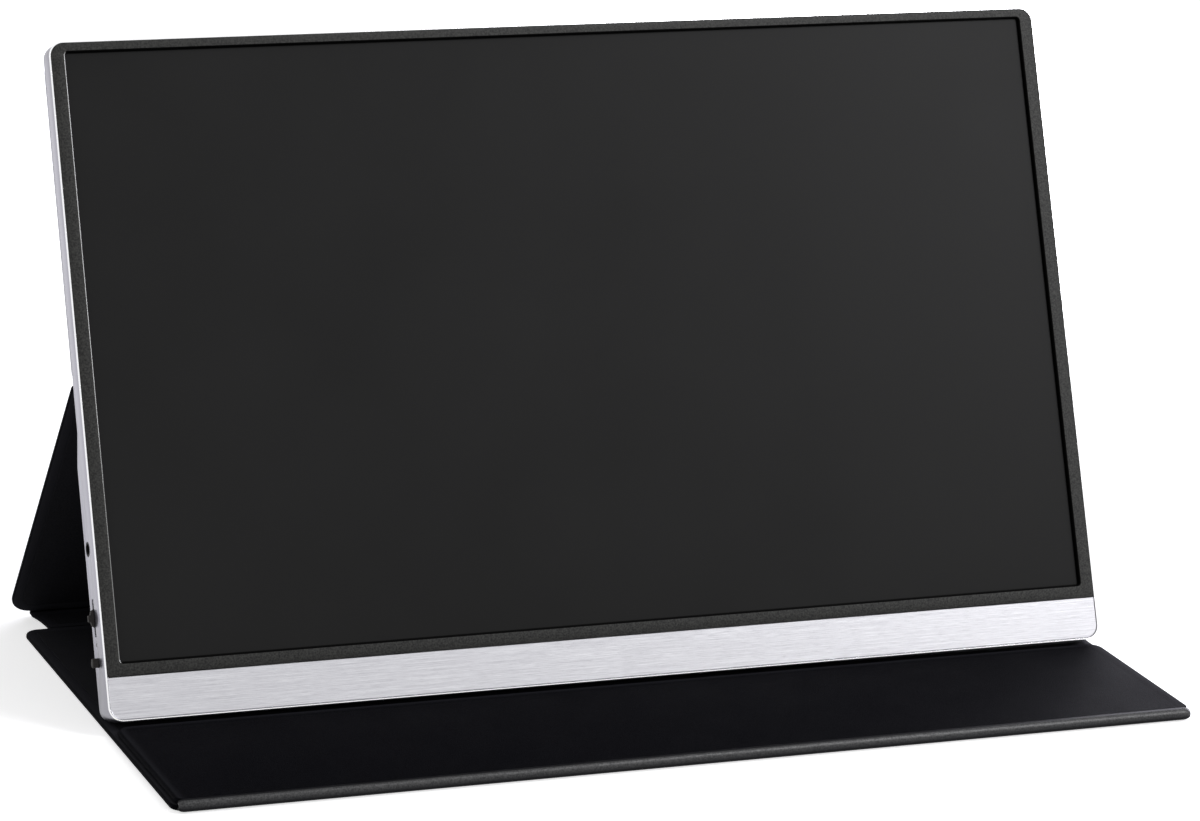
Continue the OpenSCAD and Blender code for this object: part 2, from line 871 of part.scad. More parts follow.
module rocker_lever() {
    flush = 0.1;
    neck_half = hub_r - 0.3;
    shoulder_x = left_x - 0.45 * grip_out;
    throat_x = left_x - 0.65 * grip_out;
    color([0.12, 0.12, 0.13])
        on_monitor()
            translate([0, port_y + rocker_t / 2, 0])
                rotate([90, 0, 0])
                    linear_extrude(rocker_t)
                        difference() {
                            union() {
                                translate([pivot_x, rocker_v])
                                    circle(hub_r);
                                translate([left_x + flush, rocker_v - neck_half])
                                    square([pivot_in - pin_r - 2 * flush, 2 * neck_half]);
                                translate([left_x + flush, rocker_v - rocker_h / 2])
                                    square([wall_t - flush, rocker_h]);
                                polygon([[left_x + 2 * flush, rocker_v + grip_h / 2],
                                    [shoulder_x, rocker_v + 0.4 * grip_h],
                                    [throat_x, rocker_v + tip_h / 2],
                                    [left_x - grip_out, rocker_v + tip_h / 2],
                                    [left_x - grip_out, rocker_v - tip_h / 2],
                                    [throat_x, rocker_v - tip_h / 2],
                                    [shoulder_x, rocker_v - 0.4 * grip_h],
                                    [left_x + 2 * flush, rocker_v - grip_h / 2]]);
                            }
                            translate([pivot_x, rocker_v])
                                circle(pin_r + pin_gap);
                        }
}

module rocker_carrier() {
    ear_in = rocker_t / 2 + ear_gap;
    color([0.85, 0.85, 0.8])
        on_monitor() {
            for (s = [-1, 1])
                translate([0, port_y + (s > 0 ? ear_in : -ear_in - ear_t), 0]) {
                    rod_y(pivot_x, 0, rocker_v, ear_t, hub_r);
                    translate([pivot_x, 0, rocker_v - hub_r])
                        cube([carrier_x - pivot_x + 0.2, ear_t, 2 * hub_r]);
                }
            rod_y(pivot_x, port_y - ear_in - ear_t / 2, rocker_v, 2 * ear_in + ear_t, pin_r);
            translate([carrier_x, port_y - ear_in - ear_t, rocker_v - carrier_half])
                cube([carrier_l, 2 * (ear_in + ear_t), 2 * carrier_half]);
            rod_x(carrier_x + carrier_l - 0.2, port_y, rocker_v, plunger_l + 0.2, plunger_r);
        }
}

module rocker_switch() {
    color([0.3, 0.3, 0.32])
        on_monitor()
            difference() {
                translate([switch_x, port_y - switch_d / 2, rocker_v - switch_half])
                    cube([switch_l, switch_d, 2 * switch_half]);
                rod_x(switch_x - past, port_y, rocker_v, plunger_l + 0.5 + past,
                    plunger_r + plunger_gap);
            }
}

module power_button() {
    color([0.13, 0.13, 0.14])
        on_monitor() {
            rod_x(left_x - button_out, port_y, button_v, button_flange_x - left_x + button_out,
                button_r);
            rod_x(button_flange_x, port_y, button_v, button_flange_t, button_flange_r);
            rod_x(button_flange_x, port_y, button_v, button_flange_t + button_stem_l,
                button_r / 2);
        }
}

module button_switch() {
    color([0.3, 0.3, 0.32])
        on_monitor()
            translate([button_switch_x, port_y - switch_d / 2, button_v - button_switch_half])
                cube([button_switch_l, switch_d, 2 * button_switch_half]);
}

module status_light() {
    color([0.6, 0.75, 0.95])
        on_monitor() {
            rod_x(left_x, port_y, light_v, wall_t + 1.4, light_r);
            translate([left_x + wall_t + 1.2, port_y - 0.8, light_v - light_r - 0.4])
                cube([2.6, 1.6, 2 * light_r + 0.8]);
        }
}

module video_socket() {
    x = half_w - socket_in - socket_l;
    color([0.78, 0.78, 0.8])
        on_monitor() {
            difference() {
                across(x, socket_l)
                    translate([port_y, video_v])
                        video_outline(0);
                across(x + 1, socket_l)
                    translate([port_y, video_v])
                        video_outline(-socket_t);
            }
            translate([x + 0.5, port_y - 0.4, video_v - video_w / 2 + 1.4])
                cube([socket_l - 2, 0.8, video_w - 2.8]);
        }
}

module data_sockets() {
    x = half_w - socket_in - socket_l;
    color([0.78, 0.78, 0.8])
        on_monitor()
            for (i = [0, 1])
                translate([0, 0, data_v - i * data_step]) {
                    difference() {
                        across(x, socket_l)
                            translate([port_y, 0])
                                data_outline(0);
                        across(x + 1, socket_l)
                            translate([port_y, 0])
                                data_outline(-socket_t);
                    }
                    translate([x + 0.5, port_y - 0.35, -data_w / 2 + 1.1])
                        cube([socket_l - 1.5, 0.7, data_w - 2.2]);
                }
}

// Slim speaker box with an oval membrane, centred at x
module speaker(x) {
    low = inner_low + heel_r - back_t + 0.5;
    front = thick_in - speaker_d;
    on_monitor()
        difference() {
            translate([x - speaker_w / 2, front, low])
                cube([speaker_w, speaker_d, speaker_h]);
            for (s = [-1, 1])
                rod_y(x + s * speaker_w / 6, front - past, low + speaker_h / 2, past + 0.5,
                    speaker_h * 0.38);
        }
}

module left_speaker() {
    color([0.15, 0.15, 0.16])
        speaker(-speaker_x);
}

module right_speaker() {
    color([0.15, 0.15, 0.16])
        speaker(speaker_x);
}

// Screw with its head at distance y, pointing to the back
module screw(x, v, y) {
    rod_y(x, y - head_h, v, head_h, head_r);
    rod_y(x, y - 0.1, v, shank_l + 0.1, screw_r - 0.02);
}

module board_screws() {
    color([0.5, 0.5, 0.52])
        on_monitor()
            for (p = concat(main_posts, key_posts))
                screw(p[0], p[1], board_y);
}

module tray_screws() {
    color([0.5, 0.5, 0.52])
        on_monitor()
            for (x = tray_screw_xs)
                screw(x, tray_screw_v, tray_y);
}

module body_magnets() {
    color([0.45, 0.45, 0.48])
        on_monitor()
            for (x = [-magnet_x, magnet_x])
                for (v = [magnet_low, magnet_top])
                    translate([x - magnet_w / 2, slim_in - magnet_t, v - magnet_h / 2])
                        cube([magnet_w, magnet_t, magnet_h]);
}

// ---------------------------------------------------------------- cover

// Room for one magnet in a panel's board, centred at (x, y)
module pad_room(x, y) {
    translate([x - pad_w / 2 - core_gap, y - pad_h / 2 - core_gap, 0])
        cube([pad_w + 2 * core_gap, pad_h + 2 * core_gap, sheet_t]);
}

// One magnet in a panel, centred at (x, y)
module pad(x, y) {
    translate([x - pad_w / 2, y - pad_h / 2, skin_t])
        cube([pad_w, pad_h, lay_t]);
}

module back_leather() {
    color([0.06, 0.06, 0.07])
        on_back()
            translate([0, crease_w, 0])
                panel_leather(cover_w, back_l, fold_r, back_r);
}

module back_board() {
    color([0.55, 0.45, 0.35])
        on_back()
            difference() {
                translate([0, crease_w, 0])
                    panel_board(cover_w, back_l, fold_r, back_r);
                for (x = [-magnet_x, magnet_x])
                    for (v = [magnet_low, magnet_top])
                        pad_room(x, v - fold_v);
            }
}

module back_lining() {
    color([0.1, 0.1, 0.12])
        on_back()
            translate([0, crease_w, 0])
                panel_lining(cover_w, back_l, fold_r, back_r);
}

module back_magnets() {
    color([0.45, 0.45, 0.48])
        on_back()
            for (x = [-magnet_x, magnet_x])
                for (v = [magnet_low, magnet_top])
                    pad(x, v - fold_v);
}

module back_crease() {
    color([0.05, 0.05, 0.06])
        translate([0, fold_y, fold_z])
            crease(cover_w - 2 * fold_r, [90 - tilt, -leg_rise], crease_w);
}

module leg_leather() {
    color([0.06, 0.06, 0.07])
        on_leg()
            translate([0, foot_w, -crease_z])
                panel_leather(cover_w, leg_panel_l, leg_r, fold_r);
}

module leg_board() {
    color([0.55, 0.45, 0.35])
        on_leg()
            translate([0, foot_w, -crease_z])
                panel_board(cover_w, leg_panel_l, leg_r, fold_r);
}

module leg_lining() {
    color([0.1, 0.1, 0.12])
        on_leg()
            translate([0, foot_w, -crease_z])
                panel_lining(cover_w, leg_panel_l, leg_r, fold_r);
}

module foot_crease() {
    color([0.05, 0.05, 0.06])
        translate([0, foot_y, crease_z])
            crease(cover_w - 2 * leg_r, [180, 180 - leg_rise], foot_w);
}

// Outline of the spine with a shallow notch at each side, seen from above
module spine_outline(margin) {
    difference() {
        translate([-cover_w / 2 + leg_r + margin, base_rear + margin])
            square([cover_w - 2 * (leg_r + margin), spine_l - foot_w - 2 * margin]);
        for (s = [-1, 1])
            translate([s * (notch_x + notch_r), base_rear + notch_y])
                circle(notch_r + margin, $fn = 96);
    }
}

module spine_leather() {
    color([0.06, 0.06, 0.07])
        difference() {
            linear_extrude(sheet_t)
                spine_outline(0);
            translate([0, 0, skin_t])
                linear_extrude(sheet_t)
                    spine_outline(turn_w);
        }
}

module spine_stiffener() {
    color([0.55, 0.45, 0.35])
        translate([0, 0, skin_t])
            linear_extrude(lay_t)
                spine_outline(turn_w + core_gap);
}

module spine_lining() {
    color([0.1, 0.1, 0.12])
        translate([0, 0, sheet_t - lining_t])
            linear_extrude(lining_t)
                spine_outline(turn_w + core_gap);
}

module base_leather() {
    color([0.06, 0.06, 0.07])
        translate([0, roll_y + roll_gap, 0])
            panel_leather(cover_w, base_l, base_front_r, base_r);
}

module base_board() {
    color([0.55, 0.45, 0.35])
        translate([0, roll_y + roll_gap, 0])
            panel_board(cover_w, base_l, base_front_r, base_r);
}

module base_lining() {
    color([0.1, 0.1, 0.12])
        translate([0, roll_y + roll_gap, 0])
            panel_lining(cover_w, base_l, base_front_r, base_r);
}

// Rolled front edge that joins the base to the flap
module front_roll() {
    outer_r = sheet_t + stack_gap / 2;
    color([0.05, 0.05, 0.06])
        translate([-flap_w / 2 + roll_in, roll_y, roll_z])
            rotate([0, 90, 0])
                linear_extrude(flap_w - 2 * roll_in)
                    difference() {
                        circle(outer_r);
                        circle(outer_r - crease_t);
                        translate([-2 * outer_r, roll_gap])
                            square(4 * outer_r);
                    }
}

// Places children on the flap: Y runs from the roll to the free edge, Z faces down
module on_flap() {
    translate([0, roll_y + roll_gap, 2 * sheet_t + stack_gap])
        mirror([0, 0, 1])
            children();
}

module flap_leather() {
    color([0.06, 0.06, 0.07])
        on_flap()
            panel_leather(flap_w, flap_l - roll_gap, flap_front_r, flap_r);
}

module flap_board() {
    color([0.55, 0.45, 0.35])
        on_flap()
            difference() {
                panel_board(flap_w, flap_l - roll_gap, flap_front_r, flap_r);
                for (x = [-magnet_x, magnet_x])
                    pad_room(x, flap_l - pad_edge);
            }
}

module flap_lining() {
    color([0.1, 0.1, 0.12])
        on_flap()
            panel_lining(flap_w, flap_l - roll_gap, flap_front_r, flap_r);
}

module flap_magnets() {
    color([0.45, 0.45, 0.48])
        on_flap()
            for (x = [-magnet_x, magnet_x])
                pad(x, flap_l - pad_edge);
}

rear_housing();
front_bezel();
trim_strip();
foam_seal();
screen_glass();
optical_films();
light_guide();
reflector_sheet();
display_tray();
light_bar();
driver_board();
display_cable();
main_board();
key_board();
key_cable();
headphone_socket();
rocker_switch();
rocker_carrier();
rocker_lever();
button_switch();
power_button();
status_light();
video_socket();
data_sockets();
left_speaker();
right_speaker();
board_screws();
tray_screws();
body_magnets();
back_leather();
back_board();
back_lining();
back_magnets();
back_crease();
leg_leather();
leg_board();
leg_lining();
foot_crease();
spine_leather();
spine_stiffener();
spine_lining();
base_leather();
base_board();
base_lining();
front_roll();
flap_leather();
flap_board();
flap_lining();
flap_magnets();
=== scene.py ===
import json
import math
import bmesh
import bpy
import numpy as np
from mathutils import Matrix, Vector


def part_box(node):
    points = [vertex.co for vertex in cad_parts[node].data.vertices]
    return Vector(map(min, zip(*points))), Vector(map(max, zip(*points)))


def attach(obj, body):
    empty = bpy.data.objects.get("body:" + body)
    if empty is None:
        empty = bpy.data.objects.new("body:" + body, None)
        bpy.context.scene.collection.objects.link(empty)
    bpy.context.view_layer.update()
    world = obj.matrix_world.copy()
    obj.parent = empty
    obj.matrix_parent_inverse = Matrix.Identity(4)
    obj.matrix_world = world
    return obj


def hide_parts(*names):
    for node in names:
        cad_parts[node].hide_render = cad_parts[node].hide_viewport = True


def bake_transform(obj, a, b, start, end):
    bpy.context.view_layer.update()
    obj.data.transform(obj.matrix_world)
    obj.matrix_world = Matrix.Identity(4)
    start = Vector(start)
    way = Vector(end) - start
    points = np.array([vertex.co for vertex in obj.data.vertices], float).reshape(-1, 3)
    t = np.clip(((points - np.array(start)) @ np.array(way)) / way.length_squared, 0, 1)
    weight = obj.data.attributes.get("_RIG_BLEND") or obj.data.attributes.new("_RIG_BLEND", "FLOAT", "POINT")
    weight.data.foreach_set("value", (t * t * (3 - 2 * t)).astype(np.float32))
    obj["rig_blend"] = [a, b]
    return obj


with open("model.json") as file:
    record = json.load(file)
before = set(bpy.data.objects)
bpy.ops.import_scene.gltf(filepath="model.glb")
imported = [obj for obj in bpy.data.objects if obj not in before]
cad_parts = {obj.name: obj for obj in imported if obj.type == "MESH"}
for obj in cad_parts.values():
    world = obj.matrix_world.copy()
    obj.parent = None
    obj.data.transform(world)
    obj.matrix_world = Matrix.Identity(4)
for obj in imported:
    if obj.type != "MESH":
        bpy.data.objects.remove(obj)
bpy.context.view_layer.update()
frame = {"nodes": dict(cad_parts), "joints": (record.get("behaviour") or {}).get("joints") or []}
nodes = frame["nodes"]
joints = {joint["name"]: joint for joint in frame["joints"]}
mm = 0.001


# places: the monitor leans back, and each cover panel has its own flat frame

def placeOf(origin, xAxis, yAxis, zAxis):
    # a frame: its three directions and its origin are the columns of the matrix
    place = Matrix((xAxis, yAxis, zAxis)).transposed().to_4x4()
    place.translation = origin
    return place


def inFrame(place, points):
    # points in another frame, in millimetres: the frame's inverse applied to each
    turned = np.array(place.inverted())
    return (points.reshape(-1, 3) @ turned[:3, :3].T + turned[:3, 3]) / mm


def pointsIn(place, node):
    # a node's corners in another frame
    flat = np.zeros(len(nodes[node].data.vertices) * 3, np.float32)
    nodes[node].data.vertices.foreach_get("co", flat)
    return inFrame(place, flat)


def boxIn(place, node):
    # the least and the greatest of a node's corners in another frame
    points = pointsIn(place, node)
    return points.min(0), points.max(0)


across = Vector((1, 0, 0))
outOfScreen = Vector(joints["monitor_pull_off"]["axis"])
intoBody = -outOfScreen
upScreen = across.cross(intoBody)
tilt = math.atan2(outOfScreen.z, -outOfScreen.y)

upright = placeOf(Vector((0, 0, 0)), across, intoBody, upScreen)
bodyLow = boxIn(upright, "rear_housing")[0]
screenPlace = placeOf(intoBody * bodyLow[1] * mm + upScreen * bodyLow[2] * mm, across, intoBody, upScreen)
edgeHeight = screenPlace.translation.z


def panelPlace(node, lengthwise, inward):
    # the panel's start edge lies on y = 0 and its outer face on z = 0
    side = lengthwise.cross(inward)
    turned = placeOf(Vector((0, 0, 0)), side, lengthwise, inward)
    low, high = boxIn(turned, node)
    place = turned.copy()
    place.translation = (lengthwise * low[1] + inward * low[2]) * mm
    return place, high - low


# meshes

def gridPiece(name, grid, place, material, wrapRows=False, sharp=35, measures=None):
    # rows of points joined by quads, each row a closed ring: doubles are welded, so poles and seams close
    rows, columns = grid.shape[:2]
    index = np.arange(rows * columns).reshape(rows, columns)
    if wrapRows:
        index = np.vstack([index, index[:1]])
    index = np.hstack([index, index[:, :1]])
    around = [index[:-1, :-1], index[:-1, 1:], index[1:, 1:], index[1:, :-1]]
    quads = np.stack(around, axis=-1).reshape(-1, 4)
    turned = np.array(place)
    points = (grid.reshape(-1, 3) * mm) @ turned[:3, :3].T + turned[:3, 3]
    mesh = bpy.data.meshes.new(name)
    mesh.from_pydata(points.tolist(), [], quads.tolist())
    for title, values in (measures or {}).items():
        layer = mesh.attributes.new(title, "FLOAT", "POINT")
        layer.data.foreach_set("value", np.broadcast_to(values, (rows, columns)).ravel())
    return finishedPiece(name, mesh, material, sharp)


def finishedPiece(name, mesh, material, sharp=35, weld=1e-7):
    # doubles merged, faces turned outwards, and shaded smooth up to the sharp angle
    solid = bmesh.new()
    solid.from_mesh(mesh)
    bmesh.ops.remove_doubles(solid, verts=solid.verts, dist=weld)
    bmesh.ops.dissolve_degenerate(solid, edges=solid.edges, dist=weld)
    bmesh.ops.recalc_face_normals(solid, faces=solid.faces)
    solid.to_mesh(mesh)
    solid.free()
    mesh.shade_smooth()
    mesh.set_sharp_from_angle(angle=math.radians(sharp))
    mesh.materials.clear()
    mesh.materials.append(material)
    piece = bpy.data.objects.new(name, mesh)
    bpy.context.scene.collection.objects.link(piece)
    return piece


def softened(name, node, width, material, segments=2, merge=2e-7, flat=0.6, limit=28):
    # a copy of a CAD node, merged, with its flat faces joined and its sharp edges rounded
    mesh = nodes[node].data.copy()
    mesh.name = name
    solid = bmesh.new()
    solid.from_mesh(mesh)
    bmesh.ops.remove_doubles(solid, verts=solid.verts, dist=merge)
    bmesh.ops.dissolve_limit(solid, angle_limit=math.radians(flat), verts=solid.verts, edges=solid.edges)
    crisp = [e for e in solid.edges if len(e.link_faces) == 2 and e.calc_face_angle(0) > math.radians(limit)]
    bmesh.ops.bevel(solid, geom=crisp, offset=width * mm, segments=segments, profile=0.5,
                    affect="EDGES", clamp_overlap=True, harden_normals=False)
    solid.to_mesh(mesh)
    solid.free()
    for layer in list(mesh.attributes):
        if layer.name.startswith("custom_normal"):
            mesh.attributes.remove(layer)
    return finishedPiece(name, mesh, material, sharp=50)


def ringOf(halfWidth, low, high, lowRadius, highRadius, arcSteps=8, sideSteps=(40, 16)):
    # four quarter arcs about their own centres, joined by straight sides
    quarter = np.linspace(0, math.pi / 2, arcSteps + 1)
    ends = [(1, high, highRadius), (-1, high, highRadius), (-1, low, lowRadius), (1, low, lowRadius)]
    arcs = []
    for turn, (side, end, radius) in enumerate(ends):
        angle = quarter + turn * math.pi / 2
        centreX = side * (halfWidth - radius)
        centreY = end - radius if end == high else end + radius
        arcs.append(np.stack([centreX + radius * np.cos(angle), centreY + radius * np.sin(angle)], 1))
    parts = []
    for turn in range(4):
        start, end = arcs[turn][-1], arcs[(turn + 1) % 4][0]
        steps = sideSteps[turn % 2]
        share = (np.arange(1, steps) / steps)[:, None]
        parts += [arcs[turn], start + share * (end - start)]
    return np.vstack(parts)


def insetRing(halfWidth, length, startRadius, endRadius, inset, least=0.3, startInset=None):
    # the same outline drawn in: each corner radius shrinks by the inset, down to a small one
    inset = min(inset, length / 2)
    start = inset if startInset is None else startInset
    room = min(least, length / 2 - inset)
    radii = [max(radius - inset, room) for radius in (startRadius, endRadius)]
    return ringOf(halfWidth - inset, start, length - inset, *radii)


def ridden(piece, body, stands):
    # a piece moves with one body and takes the place of the CAD nodes given
    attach(piece, body)
    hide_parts(*stands)


# shader node helpers

def paint(red, green, blue):
    # a colour as a screen shows it, 0 to 255, turned linear
    share = [value / 255 for value in (red, green, blue)]
    return [v / 12.92 if v < 0.04045 else ((v + 0.055) / 1.055) ** 2.4 for v in share] + [1]


def fed(tree, node, inputs):
    # a socket is linked to its input, and anything else becomes the input's own value
    for key, value in (inputs or {}).items():
        if isinstance(value, bpy.types.NodeSocket):
            tree.links.new(value, node.inputs[key])
        else:
            node.inputs[key].default_value = value
    return node


def addNode(tree, kind, inputs=None, **settings):
    # a node of the kind given, with its settings and its inputs
    node = tree.nodes.new(kind)
    for key, value in settings.items():
        setattr(node, key, value)
    return fed(tree, node, inputs)


def newGroup(name, inputs, outputs):
    # an empty node group with its named inputs, each with its value, and its named outputs
    group = bpy.data.node_groups.new(name, "ShaderNodeTree")
    for title, kind, default in inputs:
        socket = group.interface.new_socket(title, in_out="INPUT", socket_type=kind)
        socket.default_value = default
    for title, kind in outputs:
        group.interface.new_socket(title, in_out="OUTPUT", socket_type=kind)
    return group, group.nodes.new("NodeGroupInput"), group.nodes.new("NodeGroupOutput")


def newMaterial(name, **sockets):
    # a material whose surface has the values given: an underscore stands for a space in a socket's name
    material = bpy.data.materials.new(name)
    material.use_nodes = True
    tree = material.node_tree
    surface = tree.nodes["Principled BSDF"]
    for title, value in sockets.items():
        surface.inputs[title.replace("_", " ")].default_value = value
    return material, tree, surface


def useGroup(tree, group, inputs=None):
    # a node that stands for a whole group, with its inputs
    node = tree.nodes.new("ShaderNodeGroup")
    node.node_tree = group
    return fed(tree, node, inputs)


def makeScreenCoords():
    # object coordinates turned into the leaning monitor's own frame, in millimetres
    group, _, result = newGroup("screenCoords", [], [("Place", "NodeSocketVector")])
    coords = addNode(group, "ShaderNodeTexCoord")
    turned = addNode(group, "ShaderNodeMapping", {
        "Vector": coords.outputs["Object"],
        "Location": screenPlace.translation,
        "Rotation": (-tilt, 0, 0),
        "Scale": (mm, mm, mm)}, vector_type="TEXTURE")
    group.links.new(turned.outputs[0], result.inputs[0])
    return group


grainWarp = 0.0004  # metres by which noise pushes the grain's cells about
fineStretch = (5.0, 1.0, 3.1)  # the fine streaks are this much shorter and thinner than the broad ones


def makeGrain():
    # pebbled grain: cells with soft creases between them over a slower swell
    group, given, result = newGroup(
        "leatherGrain",
        [("Cell Size", "NodeSocketFloat", 0.6), ("Crease", "NodeSocketFloat", 0.7)],
        [("Height", "NodeSocketFloat"), ("Tone", "NodeSocketFloat")])
    coords = addNode(group, "ShaderNodeTexCoord")
    scale = addNode(group, "ShaderNodeMath", {0: 1 / mm, 1: given.outputs["Cell Size"]}, operation="DIVIDE")
    warp = addNode(group, "ShaderNodeTexNoise", {
        "Vector": coords.outputs["Object"], "Scale": 900.0, "Detail": 2.0})
    shift = addNode(group, "ShaderNodeVectorMath", {0: warp.outputs["Color"], 1: (grainWarp,) * 3},
                    operation="MULTIPLY")
    moved = addNode(group, "ShaderNodeVectorMath", {0: coords.outputs["Object"], 1: shift.outputs[0]})
    cells = addNode(group, "ShaderNodeTexVoronoi", {
        "Vector": moved.outputs[0], "Scale": scale.outputs[0]}, feature="DISTANCE_TO_EDGE")
    crease = addNode(group, "ShaderNodeMapRange", {
        "Value": cells.outputs["Distance"], "From Max": 0.25}, interpolation_type="SMOOTHSTEP")
    swell = addNode(group, "ShaderNodeTexNoise", {
        "Vector": coords.outputs["Object"], "Scale": 300.0, "Detail": 3.0})
    pebbled = addNode(group, "ShaderNodeMix", {
        "Factor": given.outputs["Crease"], "A": swell.outputs["Fac"], "B": crease.outputs[0]})
    tone = addNode(group, "ShaderNodeTexNoise", {
        "Vector": coords.outputs["Object"], "Scale": 60.0, "Detail": 5.0, "Roughness": 0.7})
    group.links.new(pebbled.outputs["Result"], result.inputs["Height"])
    group.links.new(tone.outputs["Fac"], result.inputs["Tone"])
    return group


def makeSpeckle():
    # fine moulded or blasted texture: noise at the grain size given, with a slow drift
    group, given, result = newGroup(
        "fineSpeckle", [("Grain Size", "NodeSocketFloat", 0.4)],
        [("Height", "NodeSocketFloat"), ("Drift", "NodeSocketFloat")])
    coords = addNode(group, "ShaderNodeTexCoord")
    scale = addNode(group, "ShaderNodeMath", {0: 1 / mm, 1: given.outputs["Grain Size"]}, operation="DIVIDE")
    fine = addNode(group, "ShaderNodeTexNoise", {
        "Vector": coords.outputs["Object"], "Scale": scale.outputs[0], "Detail": 2.0, "Roughness": 0.6})
    slow = addNode(group, "ShaderNodeTexNoise", {
        "Vector": coords.outputs["Object"], "Scale": 18.0, "Detail": 3.0})
    group.links.new(fine.outputs["Fac"], result.inputs["Height"])
    group.links.new(slow.outputs["Fac"], result.inputs["Drift"])
    return group


def makeBrushing():
    # long thin streaks across the monitor: noise stretched along X
    group, given, result = newGroup(
        "brushing", [("Streak Length", "NodeSocketFloat", 60.0), ("Streak Width", "NodeSocketFloat", 0.3)],
        [("Streaks", "NodeSocketFloat"), ("Fine", "NodeSocketFloat")])
    place = useGroup(group, screenCoords)
    parts = addNode(group, "ShaderNodeSeparateXYZ", {0: place.outputs["Place"]})
    along = addNode(group, "ShaderNodeMath", {0: parts.outputs["X"], 1: given.outputs["Streak Length"]},
                    operation="DIVIDE")
    over = addNode(group, "ShaderNodeMath", {0: parts.outputs["Z"], 1: given.outputs["Streak Width"]},
                   operation="DIVIDE")
    stretched = addNode(group, "ShaderNodeCombineXYZ", {"X": along.outputs[0], "Z": over.outputs[0]})
    broad = addNode(group, "ShaderNodeTexNoise", {
        "Vector": stretched.outputs[0], "Scale": 1.0, "Detail": 4.0, "Roughness": 0.65})
    finer = addNode(group, "ShaderNodeVectorMath", {0: stretched.outputs[0], 1: fineStretch},
                      operation="MULTIPLY")
    fine = addNode(group, "ShaderNodeTexNoise", {
        "Vector": finer.outputs[0], "Scale": 1.0, "Detail": 3.0, "Roughness": 0.7})
    group.links.new(broad.outputs["Fac"], result.inputs["Streaks"])
    group.links.new(fine.outputs["Fac"], result.inputs["Fine"])
    return group


def makeOpeningDistance():
    # millimetres outside the screen opening's edge, and beyond its left one: below zero on the inside
    group, _, result = newGroup(
        "openingDistance", [], [("Distance", "NodeSocketFloat"), ("Left", "NodeSocketFloat")])
    place = useGroup(group, screenCoords)
    parts = addNode(group, "ShaderNodeSeparateXYZ", {0: place.outputs["Place"]})
    middle, halfHeight = (opening[1] + opening[2]) / 2, (opening[2] - opening[1]) / 2
    sideways = addNode(group, "ShaderNodeMath", {0: parts.outputs["X"]}, operation="ABSOLUTE")
    beside = addNode(group, "ShaderNodeMath", {0: sideways.outputs[0], 1: opening[0]}, operation="SUBTRACT")
    left = addNode(group, "ShaderNodeMath", {
        0: parts.outputs["X"], 1: -1.0, 2: -opening[0]}, operation="MULTIPLY_ADD")
    centred = addNode(group, "ShaderNodeMath", {0: parts.outputs["Z"], 1: middle}, operation="SUBTRACT")
    height = addNode(group, "ShaderNodeMath", {0: centred.outputs[0]}, operation="ABSOLUTE")
    above = addNode(group, "ShaderNodeMath", {0: height.outputs[0], 1: halfHeight}, operation="SUBTRACT")
    furthest = addNode(group, "ShaderNodeMath", {
        0: beside.outputs[0], 1: above.outputs[0]}, operation="MAXIMUM")
    group.links.new(furthest.outputs[0], result.inputs["Distance"])
    group.links.new(left.outputs[0], result.inputs["Left"])
    return group


screenCoords = makeScreenCoords()
leatherGrain = makeGrain()
fineSpeckle = makeSpeckle()
brushing = makeBrushing()


def spread(tree, value, low, high, darkest, lightest):
    # a value from low to high shown as a colour from the darkest to the lightest
    share = addNode(tree, "ShaderNodeMapRange", {"Value": value, "From Min": low, "From Max": high})
    return mixed(tree, share.outputs[0], darkest, lightest)


def ranged(tree, value, low, high, least, most):
    # a value from low to high turned in proportion into one from least to most
    return addNode(tree, "ShaderNodeMapRange", {
        "Value": value, "From Min": low, "From Max": high, "To Min": least, "To Max": most}).outputs[0]


def mixed(tree, mask, first, second):
    # the first colour where the mask is 0, the second where it is 1
    return addNode(tree, "ShaderNodeMix", {
        "Factor": mask, "A": first, "B": second}, data_type="RGBA").outputs["Result"]


def bumped(tree, surface, height, strength, depth):
    # a height shown as dents and swells of a depth in millimetres
    bump = addNode(tree, "ShaderNodeBump", {"Height": height, "Strength": strength, "Distance": depth * mm})
    tree.links.new(bump.outputs[0], surface.inputs["Normal"])


# materials

# the pale edge band and hem tones below are partly wear, partly a painted highlight along the panel's edge
leatherLook = {"dark": (3, 3, 5), "light": (17, 17, 21), "cell": 0.5, "toneCell": 0.7, "roughLow": 0.64,
               "roughHigh": 0.7, "bump": 0.9, "bumpDepth": 0.05, "gloss": 0.012,
               "wearAndSheen": (30, 30, 34), "wearAndSheenFrom": 0.5, "wearAndSheenRise": 0.8, "wearAndSheenUntil": 3.2,
               "hem": (46, 46, 50), "hemFrom": 0.2, "hemUntil": 0.6}
rolledLook = {"dark": (6, 6, 9), "light": (14, 14, 18), "cell": 0.5, "rough": 0.6, "bump": 0.35,
              "bumpDepth": 0.03, "gloss": 0.08, "coatRough": 0.38, "coatIndex": 1.64, "leastShine": 0.4,
              "shineFrom": -25, "shineFull": 20, "shineUntil": 60, "shineEnd": 88}
hemOffset = 100  # added to the edge distance on the hem side of a panel


